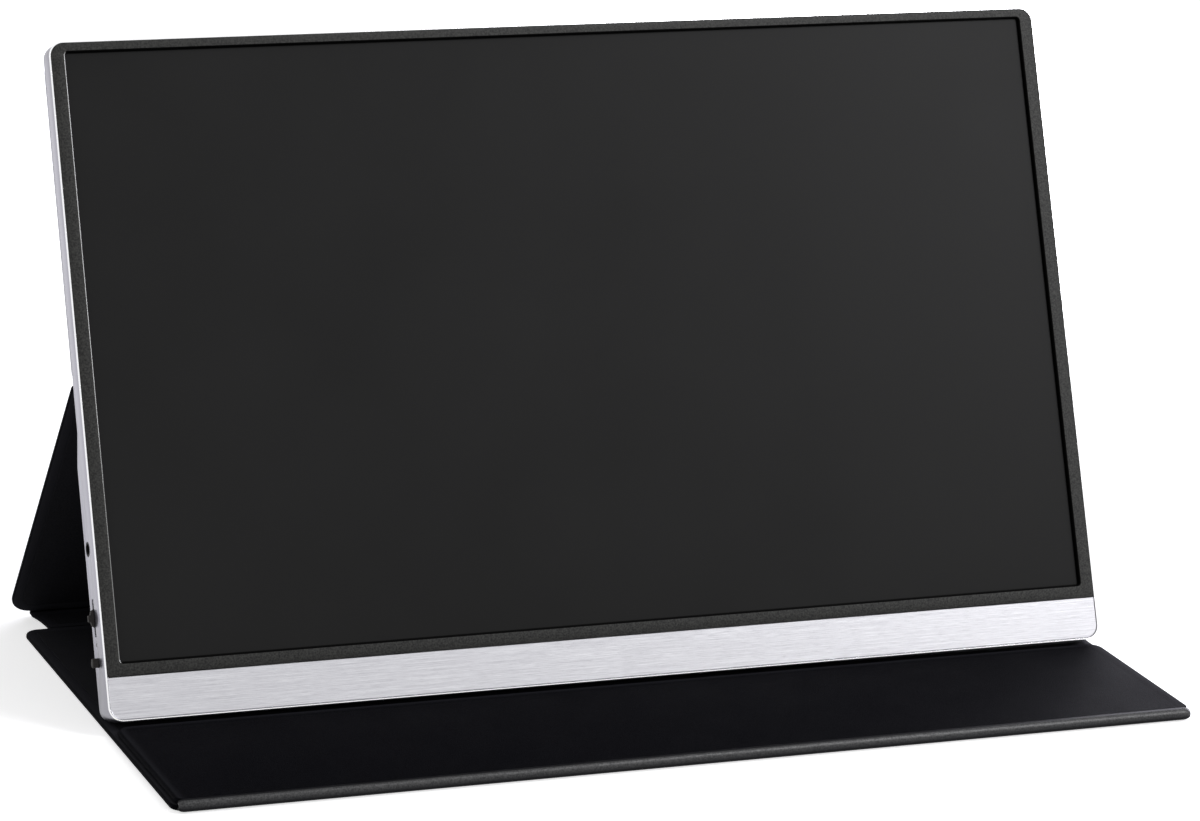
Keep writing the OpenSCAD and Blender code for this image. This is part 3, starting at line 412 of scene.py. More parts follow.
def makeLeather(name, look):
    # pebbled grain in height and gloss, a fine speckle in tone, and a paler edge band and hem where the look
    # gives them: partly wear, partly painted highlight
    material, tree, surface = newMaterial(name, Specular_IOR_Level=look["gloss"])
    grain = useGroup(tree, leatherGrain, {"Cell Size": look["cell"]})
    speckle = useGroup(tree, fineSpeckle, {"Grain Size": look["toneCell"]})
    colour = spread(tree, speckle.outputs["Height"], 0.3, 0.7, paint(*look["dark"]), paint(*look["light"]))
    rough = ranged(tree, grain.outputs["Tone"], 0.3, 0.7, look["roughHigh"], look["roughLow"])
    if "wearAndSheen" in look:
        # paler just inside the panel's edge and on the turned-in hem: partly wear where handling rubs it,
        # partly a painted highlight along the rounded edge
        edge = addNode(tree, "ShaderNodeAttribute", attribute_name="edgeDistance").outputs["Fac"]
        middle = look["wearAndSheenFrom"] + look["wearAndSheenRise"]
        rising = ranged(tree, edge, look["wearAndSheenFrom"], middle, 0, 1)
        falling = ranged(tree, edge, middle, look["wearAndSheenUntil"], 1, 0)
        wearAndSheenMask = addNode(tree, "ShaderNodeMath", {0: rising, 1: falling}, operation="MULTIPLY")
        hem = ranged(tree, edge, hemOffset + look["hemFrom"], hemOffset + look["hemUntil"], 0, 1)
        for mask, tone in ((wearAndSheenMask.outputs[0], look["wearAndSheen"]), (hem, look["hem"])):
            colour = mixed(tree, mask, colour, paint(*tone))
    tree.links.new(colour, surface.inputs["Base Color"])
    tree.links.new(rough, surface.inputs["Roughness"])
    bumped(tree, surface, grain.outputs["Height"], look["bump"], look["bumpDepth"])
    return material


def makeRolledLeather():
    # leather drawn tight round the fold: handling has polished it where it faces up and forward
    look = rolledLook
    material, tree, surface = newMaterial(
        "rolledLeather", Specular_IOR_Level=look["gloss"], Roughness=look["rough"],
        Coat_Roughness=look["coatRough"], Coat_IOR=look["coatIndex"])
    grain = useGroup(tree, leatherGrain, {"Cell Size": look["cell"]})
    colour = spread(tree, grain.outputs["Tone"], 0.35, 0.65, paint(*look["dark"]), paint(*look["light"]))
    facing = addNode(tree, "ShaderNodeAttribute", attribute_name="facing").outputs["Fac"]
    rising = ranged(tree, facing, look["shineFrom"], look["shineFull"], 0, 1)
    ending = ranged(tree, facing, look["shineUntil"], look["shineEnd"], 1, 0)
    speckle = useGroup(tree, fineSpeckle, {"Grain Size": look["cell"]})
    wearAndSheen = ranged(tree, speckle.outputs["Height"], 0.35, 0.65, look["leastShine"], 1)
    shine = addNode(tree, "ShaderNodeMath", {0: rising, 1: ending}, operation="MULTIPLY")
    shine = addNode(tree, "ShaderNodeMath", {0: shine.outputs[0], 1: wearAndSheen}, operation="MULTIPLY")
    tree.links.new(colour, surface.inputs["Base Color"])
    tree.links.new(shine.outputs[0], surface.inputs["Coat Weight"])
    bumped(tree, surface, grain.outputs["Height"], look["bump"], look["bumpDepth"])
    return material


liningLook = {"dark": (24, 24, 26), "light": (40, 40, 44), "cell": 0.35, "toneCell": 0.49, "roughLow": 0.75,
              "roughHigh": 0.9, "bump": 0.5, "bumpDepth": 0.03, "gloss": 0.05}

metalLook = {"dull": (152, 151, 159), "clear": (166, 165, 173), "roughLow": 0.3, "roughHigh": 0.38,
             "rim": (250, 250, 252), "rimDepth": 0.2, "rimBlend": 0.06, "rimRough": 0.16}


def makeHousingMetal():
    # satin metal that drifts in tone, and its bright rim: what lies within the rim's depth of the front
    material, tree, surface = newMaterial("satinMetal", Metallic=1.0)
    look = metalLook
    place = useGroup(tree, screenCoords)
    parts = addNode(tree, "ShaderNodeSeparateXYZ", {0: place.outputs["Place"]})
    speckle = useGroup(tree, fineSpeckle, {"Grain Size": 0.25})
    body = spread(tree, speckle.outputs["Drift"], 0.3, 0.7, paint(*look["dull"]), paint(*look["clear"]))
    rim = ranged(tree, parts.outputs["Y"], look["rimDepth"], look["rimDepth"] + look["rimBlend"], 1, 0)
    colour = mixed(tree, rim, body, paint(*look["rim"]))
    satin = ranged(tree, speckle.outputs["Height"], 0.3, 0.7, look["roughLow"], look["roughHigh"])
    rough = addNode(tree, "ShaderNodeMix", {
        "Factor": rim, "A": satin, "B": look["rimRough"]}).outputs["Result"]
    tree.links.new(colour, surface.inputs["Base Color"])
    tree.links.new(rough, surface.inputs["Roughness"])
    bumped(tree, surface, speckle.outputs["Height"], 0.12, 0.01)
    return material


stripLook = {"dark": (172, 171, 177), "light": (215, 215, 219), "roughLow": 0.26, "roughHigh": 0.36,
             "streakLength": 26.0, "streakWidth": 0.22}


def makeStripMetal():
    # brushed metal: the broad and the fine streaks together give its tone and its scratches
    material, tree, surface = newMaterial("brushedMetal", Metallic=1.0)
    lines = useGroup(tree, brushing, {
        "Streak Length": stripLook["streakLength"], "Streak Width": stripLook["streakWidth"]})
    both = addNode(tree, "ShaderNodeMath", {0: lines.outputs["Streaks"], 1: lines.outputs["Fine"]})
    colour = spread(tree, both.outputs[0], 0.75, 1.25, paint(*stripLook["dark"]), paint(*stripLook["light"]))
    rough = ranged(tree, lines.outputs["Fine"], 0.35, 0.65, stripLook["roughLow"], stripLook["roughHigh"])
    tree.links.new(colour, surface.inputs["Base Color"])
    tree.links.new(rough, surface.inputs["Roughness"])
    bumped(tree, surface, both.outputs[0], 0.12, 0.01)
    return material


def makePlastic(name, dark, light, grainSize, rough, specular=0.4, bump=0.3, vary=0.05):
    # moulded plastic: fine grain in tone and height, and a gloss that changes slowly
    material, tree, surface = newMaterial(name, Specular_IOR_Level=specular)
    speckle = useGroup(tree, fineSpeckle, {"Grain Size": grainSize})
    colour = spread(tree, speckle.outputs["Height"], 0.35, 0.65, paint(*dark), paint(*light))
    gloss = ranged(tree, speckle.outputs["Drift"], 0.3, 0.7, rough - vary, rough + vary)
    tree.links.new(colour, surface.inputs["Base Color"])
    tree.links.new(gloss, surface.inputs["Roughness"])
    bumped(tree, surface, speckle.outputs["Height"], bump, 0.03)
    return material


# the inside tone is painted shade: near black for the controls where they sit down in the wall's openings
controlLook = {"inside": (12, 12, 13), "outside": (62, 60, 58), "blend": 0.3, "rough": 0.5,
               "roughSpread": 0.06}


def makeControlPlastic():
    # the side controls: grey where they stand out of the wall, with a painted shade, near black, down in
    # their openings
    material, tree, surface = newMaterial("controlPlastic", Specular_IOR_Level=0.04)
    place = useGroup(tree, screenCoords)
    parts = addNode(tree, "ShaderNodeSeparateXYZ", {0: place.outputs["Place"]})
    wallFace = float(bodyLow[0])
    # painted shade: the tone runs to near black below the wall's face, where the openings lie in shade
    outside = ranged(tree, parts.outputs["X"], wallFace - controlLook["blend"], wallFace, 1, 0)
    speckle = useGroup(tree, fineSpeckle, {"Grain Size": 0.3})
    tone = spread(tree, outside, 0, 1, paint(*controlLook["inside"]), paint(*controlLook["outside"]))
    least = controlLook["rough"] - controlLook["roughSpread"]
    most = controlLook["rough"] + controlLook["roughSpread"]
    gloss = ranged(tree, speckle.outputs["Height"], 0.3, 0.7, least, most)
    tree.links.new(tone, surface.inputs["Base Color"])
    tree.links.new(gloss, surface.inputs["Roughness"])
    bumped(tree, surface, speckle.outputs["Height"], 0.3, 0.03)
    return material


def makeMetal(name, dark, light, rough, vary=0.06):
    # bare sheet metal: its tone changes slowly and its gloss with the grain
    material, tree, surface = newMaterial(name, Metallic=1.0)
    speckle = useGroup(tree, fineSpeckle, {"Grain Size": 0.5})
    colour = spread(tree, speckle.outputs["Drift"], 0.3, 0.7, paint(*dark), paint(*light))
    gloss = ranged(tree, speckle.outputs["Height"], 0.3, 0.7, rough - vary, rough + vary)
    tree.links.new(colour, surface.inputs["Base Color"])
    tree.links.new(gloss, surface.inputs["Roughness"])
    return material


leather = makeLeather("coverLeather", leatherLook)
rolledLeather = makeRolledLeather()
lining = makeLeather("coverLining", liningLook)
satinMetal = makeHousingMetal()
brushedMetal = makeStripMetal()
controlPlastic = makeControlPlastic()
darkPlastic = makePlastic("darkPlastic", (40, 40, 42), (50, 50, 52), 0.3, 0.5, 0.04)
socketBlack = makePlastic("socketBlack", (24, 24, 25), (32, 32, 33), 0.3, 0.5, 0.04)
lightPlastic = makePlastic("lightPlastic", (205, 203, 194), (218, 216, 208), 0.4, 0.45)
foamBlack = makePlastic("foamBlack", (18, 18, 19), (30, 30, 32), 0.2, 0.9, 0.1)
boardGreen = makePlastic("boardGreen", (16, 62, 38), (24, 82, 50), 2.5, 0.35)
cableWhite = makePlastic("cableWhite", (206, 206, 210), (222, 222, 226), 1.5, 0.4)
greyBoard = makePlastic("greyBoard", (118, 108, 94), (146, 136, 120), 0.8, 0.95, 0.1)
filmWhite = makePlastic("filmWhite", (226, 226, 222), (238, 238, 236), 2.0, 0.3)
plainSteel = makeMetal("plainSteel", (166, 166, 170), (190, 190, 194), 0.34)
socketSteel = makeMetal("socketSteel", (178, 178, 184), (204, 204, 210), 0.24)
magnetNickel = makeMetal("magnetNickel", (150, 148, 146), (176, 174, 172), 0.2)


bezelLook = {"dark": (0, 0, 0), "light": (54, 54, 52), "grain": 0.6, "rough": 0.5}
# the lip's near-black tones are a painted shade for the gap between the bezel and the screen
lipLook = {"dark": (1, 1, 1), "light": (5, 5, 5), "rough": 0.55, "coatRough": 0.12, "coatIndex": 2.4,
           "polishFrom": -0.3}


def makeBezelBlack():
    # speckled matt plastic
    material, tree, surface = newMaterial("bezelBlack", Specular_IOR_Level=0.28, Roughness=bezelLook["rough"])
    speckle = useGroup(tree, fineSpeckle, {"Grain Size": bezelLook["grain"]})
    colour = spread(tree, speckle.outputs["Height"], 0.35, 0.65,
                    paint(*bezelLook["dark"]), paint(*bezelLook["light"]))
    tree.links.new(colour, surface.inputs["Base Color"])
    bumped(tree, surface, speckle.outputs["Height"], 0.5, 0.08)
    return material


def makeLipShadeBlack():
    # the lip that runs down to the screen: near black and dull, darker than the bezel, a painted shade for
    # the gap down to the screen; polished along its left side
    material, tree, surface = newMaterial(
        "lipShadeBlack", Specular_IOR_Level=0.03, Roughness=lipLook["rough"],
        Coat_Roughness=lipLook["coatRough"], Coat_IOR=lipLook["coatIndex"])
    speckle = useGroup(tree, fineSpeckle, {"Grain Size": 0.3})
    colour = spread(tree, speckle.outputs["Height"], 0.35, 0.65,
                    paint(*lipLook["dark"]), paint(*lipLook["light"]))
    lip = useGroup(tree, openingDistance)
    polish = ranged(tree, lip.outputs["Left"], lipLook["polishFrom"], 0, 0, 1)
    tree.links.new(colour, surface.inputs["Base Color"])
    tree.links.new(polish, surface.inputs["Coat Weight"])
    return material


screenLook = {"picture": (38, 38, 38), "drift": (40, 40, 40), "border": (0, 0, 0), "borderWidth": 0.35,
              "borderBlend": 0.04, "rough": 0.34, "roughSpread": 0.03}


def makeScreenDark():
    # the dark picture area, and the black border that runs round it inside the bezel
    material, tree, surface = newMaterial("screenDark", Specular_IOR_Level=0.06)
    speckle = useGroup(tree, fineSpeckle, {"Grain Size": 0.12})
    picture = spread(tree, speckle.outputs["Drift"], 0.3, 0.7,
                     paint(*screenLook["picture"]), paint(*screenLook["drift"]))
    edge = useGroup(tree, openingDistance)
    width, blend = screenLook["borderWidth"], screenLook["borderBlend"]
    mask = ranged(tree, edge.outputs["Distance"], -width - blend, -width + blend, 0, 1)
    colour = mixed(tree, mask, picture, paint(*screenLook["border"]))
    tree.links.new(colour, surface.inputs["Base Color"])
    least = screenLook["rough"] - screenLook["roughSpread"]
    most = screenLook["rough"] + screenLook["roughSpread"]
    gloss = ranged(tree, speckle.outputs["Drift"], 0.3, 0.7, least, most)
    tree.links.new(gloss, surface.inputs["Roughness"])
    bumped(tree, surface, speckle.outputs["Height"], 0.04, 0.03)
    return material


def makeLightPipe():
    # cloudy clear plastic: its tone changes with the grain and its gloss slowly
    material, tree, surface = newMaterial("lightPipe", Transmission_Weight=0.7, IOR=1.49)
    speckle = useGroup(tree, fineSpeckle, {"Grain Size": 0.2})
    colour = spread(tree, speckle.outputs["Height"], 0.3, 0.7, paint(60, 66, 84), paint(92, 100, 122))
    tree.links.new(colour, surface.inputs["Base Color"])
    tree.links.new(ranged(tree, speckle.outputs["Drift"], 0.3, 0.7, 0.2, 0.3), surface.inputs["Roughness"])
    return material


def makeAcrylic():
    # clear plastic with a faint change of tone and gloss
    material, tree, surface = newMaterial("clearAcrylic", Transmission_Weight=0.9, IOR=1.49)
    speckle = useGroup(tree, fineSpeckle, {"Grain Size": 1.5})
    colour = spread(tree, speckle.outputs["Drift"], 0.3, 0.7, paint(222, 236, 240), paint(236, 246, 248))
    tree.links.new(colour, surface.inputs["Base Color"])
    tree.links.new(ranged(tree, speckle.outputs["Height"], 0.3, 0.7, 0.08, 0.2), surface.inputs["Roughness"])
    return material


def openingBox(cornerRadius, near=1, margin=0.01):
    # half width, low and high edge of the bezel's opening: the corners that lie inside its outline
    points = pointsIn(screenPlace, "front_bezel")
    low, high = points.min(0), points.max(0)
    x, v = np.abs(points[:, 0]), points[:, 2]
    outline = (x > high[0] - near) | (v < low[2] + near) | (v > high[2] - near)
    outline |= (x > high[0] - cornerRadius - margin) & (v > high[2] - cornerRadius - margin)
    return x[~outline].max(), v[~outline].min(), v[~outline].max()


bezel = {"cornerRadius": 4.45, "footRadius": 0.12, "outerEdge": 0.1, "faceStart": 2.0, "lip": 0.5,
         "lipMargin": 0.005, "openingRadius": 1.0, "lipSteps": 7}
opening = [float(value) for value in openingBox(bezel["cornerRadius"])]
openingDistance = makeOpeningDistance()
bezelBlack = makeBezelBlack()
lipShadeBlack = makeLipShadeBlack()
screenDark = makeScreenDark()
lightPipe = makeLightPipe()
clearAcrylic = makeAcrylic()
print("materials made")


# CAD nodes that keep their shape and get a finish

finishes = {
    "foam_seal": foamBlack, "screen_glass": screenDark, "optical_films": filmWhite,
    "light_guide": clearAcrylic, "reflector_sheet": filmWhite, "display_tray": plainSteel,
    "light_bar": boardGreen, "driver_board": boardGreen, "display_cable": cableWhite,
    "main_board": boardGreen, "key_board": boardGreen, "key_cable": cableWhite,
    "headphone_socket": socketBlack, "rocker_switch": darkPlastic,
    "rocker_carrier": lightPlastic, "button_switch": darkPlastic, "status_light": lightPipe,
    "video_socket": socketSteel, "data_sockets": socketSteel, "left_speaker": darkPlastic,
    "right_speaker": darkPlastic, "board_screws": plainSteel, "tray_screws": plainSteel,
    "body_magnets": magnetNickel, "back_magnets": magnetNickel, "flap_magnets": magnetNickel,
    "back_board": greyBoard, "leg_board": greyBoard, "spine_stiffener": greyBoard, "base_board": greyBoard,
    "flap_board": greyBoard,
}
for nodeName, finish in finishes.items():
    nodes[nodeName].data.materials.clear()
    nodes[nodeName].data.materials.append(finish)


# monitor

housing = {"edgeRound": 0.05}
ridden(softened("housingShell", "rear_housing", housing["edgeRound"], satinMetal),
       "monitor", ["rear_housing"])


def makeBezel():
    # a flat frame: rings from its outer wall over the face and down the round lip of the opening
    low, high = boxIn(screenPlace, "front_bezel")
    cornerRadius = bezel["cornerRadius"]

    def outer(inset, depth):
        ring = ringOf(high[0] - inset, low[2] + inset, high[2] - inset,
                      bezel["footRadius"], cornerRadius - inset)
        return np.insert(ring, 1, depth, axis=1)

    def inner(grow, depth):
        radius = bezel["openingRadius"] + grow
        ring = ringOf(opening[0] + grow, opening[1] - grow, opening[2] + grow, radius, radius)
        return np.insert(ring, 1, depth, axis=1)

    edge, lip = bezel["outerEdge"], bezel["lip"]
    turn = np.linspace(0, math.pi / 2, bezel["lipSteps"])
    rings = [outer(0, high[1]), outer(0, edge), outer(edge * 0.3, edge * 0.3), outer(edge, 0),
             inner(bezel["faceStart"], 0)]
    rings += [inner(lip * (1 - math.sin(a)), lip * (1 - math.cos(a))) for a in turn]
    rings += [inner(0, high[1])]
    piece = gridPiece("frontBezel", np.array(rings), screenPlace, bezelBlack, wrapRows=True)
    middles = np.empty(len(piece.data.polygons) * 3)
    piece.data.polygons.foreach_get("center", middles)
    placed = inFrame(screenPlace, middles)
    x, v = placed[:, 0], placed[:, 2]
    outside = np.maximum(np.abs(x) - opening[0], np.maximum(opening[1] - v, v - opening[2]))
    # the lip's faces get the near-black painted shade of the gap down to the screen
    piece.data.materials.append(lipShadeBlack)
    onLip = outside < lip - bezel["lipMargin"]
    piece.data.polygons.foreach_set("material_index", onLip.astype(np.int32))
    return piece


ridden(makeBezel(), "monitor", ["front_bezel"])

strip = {"chamfer": 0.22, "cornerRadius": 4.3, "squareRadius": 0.1, "leastRadius": 0.05, "backInset": 0.3,
         "backEdge": 0.1, "faceInset": 1.0}


def makeStrip():
    # a slab whose front edge is chamfered all round: rings from the middle of its back to its front
    low, high = boxIn(screenPlace, "trim_strip")
    length = high[2] - low[2]

    def ring(inset, depth):
        flat = insetRing(high[0], length, strip["cornerRadius"], strip["squareRadius"], inset,
                         strip["leastRadius"])
        flat[:, 1] += low[2]
        return np.insert(flat, 1, depth, axis=1)

    cut = strip["chamfer"]
    rings = [ring(length / 2, high[1]), ring(strip["backInset"], high[1]),
             ring(0, high[1] - strip["backEdge"]), ring(0, cut),
             ring(cut, 0), ring(strip["faceInset"], 0), ring(length / 2, 0)]
    return gridPiece("trimStrip", np.array(rings), screenPlace, brushedMetal, sharp=20)


ridden(makeStrip(), "monitor", ["trim_strip"])

controls = {"gripRound": 0.18, "gripSegments": 3, "buttonRound": 0.3, "buttonSegments": 4}
ridden(softened("rockerGrip", "rocker_lever", controls["gripRound"], controlPlastic,
                controls["gripSegments"]), "rocker", ["rocker_lever"])
ridden(softened("roundButton", "power_button", controls["buttonRound"], controlPlastic,
                controls["buttonSegments"]), "button", ["power_button"])
print("monitor made")


# cover

# millimetres: an inset is counted in from the panel's edge, a drop down from its inner face
cover = {"edgeRound": 0.75, "edgeSteps": 6, "edgeFlat": 0.3, "grooveInset": 4.2, "grooveWidth": 1.2,
         "grooveDepth": 0.04, "swell": 0.03, "swellStart": 6.5, "flatInset": 9, "flatRings": 9, "skin": 0.5,
         "turnInset": 3.6, "turnBevel": 0.3, "turnStep": 0.12, "hemInset": 5.0, "hemGap": 0.02,
         "liningDrop": 0.4, "liningGap": 0.05, "liningStep": 0.1, "liningBevel": 0.12}


def swellOf(points, depth):
    # slow dents of a hand-wrapped panel: three crossing waves, never above the surface
    x, y = points[:, 0], points[:, 1]
    waves = np.sin(x / 23 + y / 41) + np.sin(x / 37 - y / 19 + 1.3) + np.sin(x / 71 + y / 29 + 2.1)
    return depth * (waves + 3) / 6


def panelGrid(size, startRadius, endRadius, profile, swell, warp=None, joined=None):
    # a profile of inset and height carried round the outline; the last ring closes on the middle line.
    # joined: how far from the start the rings wait where the panel runs into a rolled edge
    rings = []
    flatInset = cover["flatInset"]
    for inset, height, swelling in profile:
        start = None
        if joined is not None:
            share = max(0, inset - flatInset) / (size[1] / 2 - flatInset)
            start = joined + share * (size[1] / 2 - joined)
        flat = insetRing(size[0] / 2, size[1], startRadius, endRadius, inset, startInset=start)
        if warp:
            flat = warp(flat)
        lift = swellOf(flat, swell) * swelling
        rings.append(np.column_stack([flat, height + lift]))
    return np.array(rings)


def leatherProfile(thickness, half):
    # from the middle of the outer face round the edge to the turned-in hem, and back inside
    r, steps = cover["edgeRound"], cover["edgeSteps"]
    groove, width, depth = cover["grooveInset"], cover["grooveWidth"], cover["grooveDepth"]
    turnInset, hemEnd, drop = cover["turnInset"], cover["hemInset"] + cover["hemGap"], cover["liningDrop"]
    turn = np.linspace(0, math.pi / 2, steps + 1)
    outer = [(inset, 0, 1) for inset in np.linspace(half, cover["flatInset"], cover["flatRings"])]
    outer += [(cover["swellStart"], 0, 0.5), (groove + width, 0, 0.2), (groove + width / 3, depth, 0),
              (groove, depth, 0), (groove - width * 0.6, 0, 0), (r + cover["edgeFlat"], 0, 0)]
    outer += [(r * (1 - math.sin(a)), r * (1 - math.cos(a)), 0) for a in turn]
    outer += [(r * (1 - math.cos(a)), thickness - r * (1 - math.sin(a)), 0) for a in turn]
    hem = [(turnInset - cover["turnBevel"], thickness, 0), (turnInset, thickness - cover["turnStep"], 0),
           (turnInset, thickness - drop, 0), (hemEnd, thickness - drop, 0),
           (hemEnd, cover["skin"], 0), (half, cover["skin"], 0)]
    edges = np.array([row[0] for row in outer + hem])
    edges[-len(hem) - 1 - steps // 2:] += hemOffset
    return outer + hem, edges


def liningProfile(thickness, half):
    # from the middle of its underside out to the hem, up its thin edge, and back over its face
    start, drop = cover["turnInset"] + cover["liningGap"], cover["liningDrop"]
    under = [(half, thickness - drop, 0), (start, thickness - drop, 0),
             (start, thickness - cover["liningStep"], 0)]
    over = [(start + cover["liningBevel"], thickness, 0), (start + 1, thickness, 0)]
    rows = under + over
    rows += [(inset, thickness, -1) for inset in np.linspace(cover["flatInset"], half, cover["flatRings"])]
    return rows, np.array([row[0] for row in rows])


def makePanel(title, node, liningNode, body, lengthwise, inward, startRadius, endRadius, warp=None,
              joined=None):
    # a panel's leather and its lining, each its own profile carried round the panel's outline
    place, size = panelPlace(node, lengthwise, inward)
    half = size[1] / 2
    skinRows, skinEdges = leatherProfile(size[2], half)
    skin = panelGrid(size, startRadius, endRadius, skinRows, cover["swell"], warp, joined)
    piece = gridPiece(title + "Cover", skin, place, leather, measures={"edgeDistance": skinEdges[:, None]})
    ridden(piece, body, [node])
    clothRows, clothEdges = liningProfile(size[2], half)
    cloth = panelGrid(size, startRadius, endRadius, clothRows, cover["swell"] / 2, warp)
    inlay = gridPiece(title + "Lining", cloth, place, lining, measures={"edgeDistance": clothEdges[:, None]})
    ridden(inlay, body, [liningNode])


footAxis = Vector(joints["leg_fold"]["pos_m"])
backAxis = Vector(joints["back_fold"]["pos_m"])
frontAxis = Vector(joints["front_fold"]["pos_m"])
upLeg = (backAxis - footAxis).normalized()
legInward = across.cross(upLeg)
corners = {"base": 5, "baseFront": 4, "flap": 5, "flapFront": 2.5, "leg": 8, "back": 6, "fold": 1.5,
           "spine": 0.3}
roll = {"wall": 0.8, "overlap": 0.7, "steps": 24, "pastEnd": 0.6, "endLength": 2.4, "endShare": 0.45,
        "endSteps": 7, "lengthSteps": 61}
yAxis, zAxis = Vector((0, 1, 0)), Vector((0, 0, 1))

makePanel("base", "base_leather", "base_lining", "base", yAxis, zAxis, corners["baseFront"], corners["base"],
          joined=roll["overlap"])
makePanel("flap", "flap_leather", "flap_lining", "flap", yAxis, -zAxis, corners["flapFront"], corners["flap"],
          joined=roll["overlap"])
makePanel("leg", "leg_leather", "leg_lining", "leg", upLeg, legInward, corners["leg"], corners["fold"])
makePanel("back", "back_leather", "back_lining", "back_panel", upScreen, -intoBody,
          corners["fold"], corners["back"])
notch = {"half": 168.0, "radius": 54.0, "deepest": 4.0, "widest": 169.75, "bend": 6}


def notched(flat):
    # the strip's sides are drawn in along an arc: a high power of its share of the width moves each point
    widest = notch["widest"]
    reach = notch["half"] + notch["radius"]
    narrow = reach - np.sqrt(notch["radius"] ** 2 - (flat[:, 1] - notch["deepest"]) ** 2)
    share = np.clip(np.abs(flat[:, 0]) / widest, 0, 1) ** notch["bend"]
    moved = flat.copy()
    moved[:, 0] *= 1 - share * (1 - narrow / widest)
    return moved


makePanel("spine", "spine_leather", "spine_lining", "base", yAxis, zAxis, corners["spine"],
          corners["spine"], notched)


def arcPoints(centre, radius, start, end, steps):
    # points at equal angles on a circle, from the start to the end angle in degrees
    angle = np.radians(np.linspace(start, end, steps))
    return np.column_stack([centre[0] + radius * np.cos(angle), centre[1] + radius * np.sin(angle)])


def closedEnds(rows):
    # the first and the last row are drawn once more onto their own middle, which closes both ends
    first, last = rows[0].copy(), rows[-1].copy()
    first[:, 1:], last[:, 1:] = first[:, 1:].mean(0), last[:, 1:].mean(0)
    return np.array([first, *rows, last])


def carried(outline, xs):
    # an outline of y and z carried along X and closed at both ends
    return closedEnds([np.column_stack([np.full(len(outline), x), outline]) for x in xs])


def domed(outline, centre, half):
    # the outline carried along X; over the last bit at each end it shrinks towards the axis along an ellipse
    length, share = roll["endLength"], roll["endShare"]
    turn = np.linspace(0, math.pi / 2, roll["endSteps"])
    endXs = half - length + length * np.sin(turn)
    endScales = 1 - share * (1 - np.cos(turn))
    straight = np.linspace(-endXs[0], endXs[0], roll["lengthSteps"])[1:-1]
    xs = np.concatenate([-endXs[::-1], straight, endXs])
    scales = np.concatenate([endScales[::-1], np.ones(len(straight)), endScales])
    arms = outline - centre
    return closedEnds([np.column_stack([np.full(len(arms), x), centre + arms * k])
                       for x, k in zip(xs, scales)])


def makeFrontRoll():
    # half a tube about the front fold: out along the outer arc and back along the inner one
    low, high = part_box("front_roll")
    centre = np.array([frontAxis.y, frontAxis.z]) / mm
    radius = (high.z - low.z) / 2 / mm
    outer = arcPoints(centre, radius, 270, 90, roll["steps"])
    inner = arcPoints(centre, radius - roll["wall"], 90, 270, roll["steps"])
    reach = roll["overlap"]
    outline = np.vstack([outer[:1] + [reach, 0], outer, outer[-1:] + [reach, 0],
                         inner[:1] + [reach, 0], inner, inner[-1:] + [reach, 0]])
    # degrees by which each point of the outline faces up: the inner wall counts as facing down
    rise = np.concatenate([[-90], np.linspace(-90, 90, roll["steps"]), [90], np.full(roll["steps"] + 2, -90)])
    piece = gridPiece("frontRoll", domed(outline, centre, high.x / mm + roll["pastEnd"]), Matrix.Identity(4),
                      rolledLeather, measures={"facing": rise})
    centrePoint = Vector((0, frontAxis.y, frontAxis.z))
    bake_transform(piece, "base", "flap", centrePoint - zAxis * 0.0015, centrePoint + zAxis * 0.0015)
    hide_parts("front_roll")


crease = {"wall": 0.9, "reach": 2.6, "bendSteps": 12, "lengthSteps": 41, "leastCosine": 0.3,
          "insideShare": 0.9}


def makeCrease(name, node, axis, towardA, towardB, bodyA, bodyB):
    # a strip that runs from one panel through the axis to the other, round at the bend
    low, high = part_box(node)
    centre = np.array([axis.y, axis.z]) / mm
    a, b = np.array([towardA.y, towardA.z]), np.array([towardB.y, towardB.z])
    outside = -(a + b) / np.linalg.norm(a + b)
    half = crease["wall"] / 2

    def sideOf(direction):
        normal = np.array([-direction[1], direction[0]])
        return normal if normal @ outside > 0 else -normal

    na, nb = sideOf(a), sideOf(b)
    angleA, angleB = math.atan2(na[1], na[0]), math.atan2(nb[1], nb[0])
    turn = (angleB - angleA + math.pi) % (2 * math.pi) - math.pi
    sweep = angleA + turn * np.linspace(0, 1, crease["bendSteps"])
    bend = centre + half * np.column_stack([np.cos(sweep), np.sin(sweep)])
    inside = centre - outside * half / max(math.cos(turn / 2), crease["leastCosine"]) * crease["insideShare"]
    reach = crease["reach"]
    outline = np.vstack([centre + a * reach + na * half, bend, centre + b * reach + nb * half,
                         centre + b * reach - nb * half, inside, centre + a * reach - na * half])
    xs = np.linspace(low.x / mm, high.x / mm, crease["lengthSteps"])
    piece = gridPiece(name, carried(outline, xs), Matrix.Identity(4), leather)
    spanDirection = (towardB - towardA).normalized()
    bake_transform(piece, bodyA, bodyB, axis - spanDirection * 0.0004, axis + spanDirection * 0.0004)
    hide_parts(node)


makeFrontRoll()
makeCrease("footFold", "foot_crease", footAxis, -yAxis, upLeg, "base", "leg")
makeCrease("backFold", "back_crease", backAxis, -upLeg, upScreen, "leg", "back_panel")
print("cover made")


# camera, floor and light

view = {"lens": 152.12, "sensor": 36, "azimuth": -21.905, "elevation": 15.745, "roll": 2.508,
        "aimX": -7.894, "aimUp": 89.905, "distance": 1697.2}


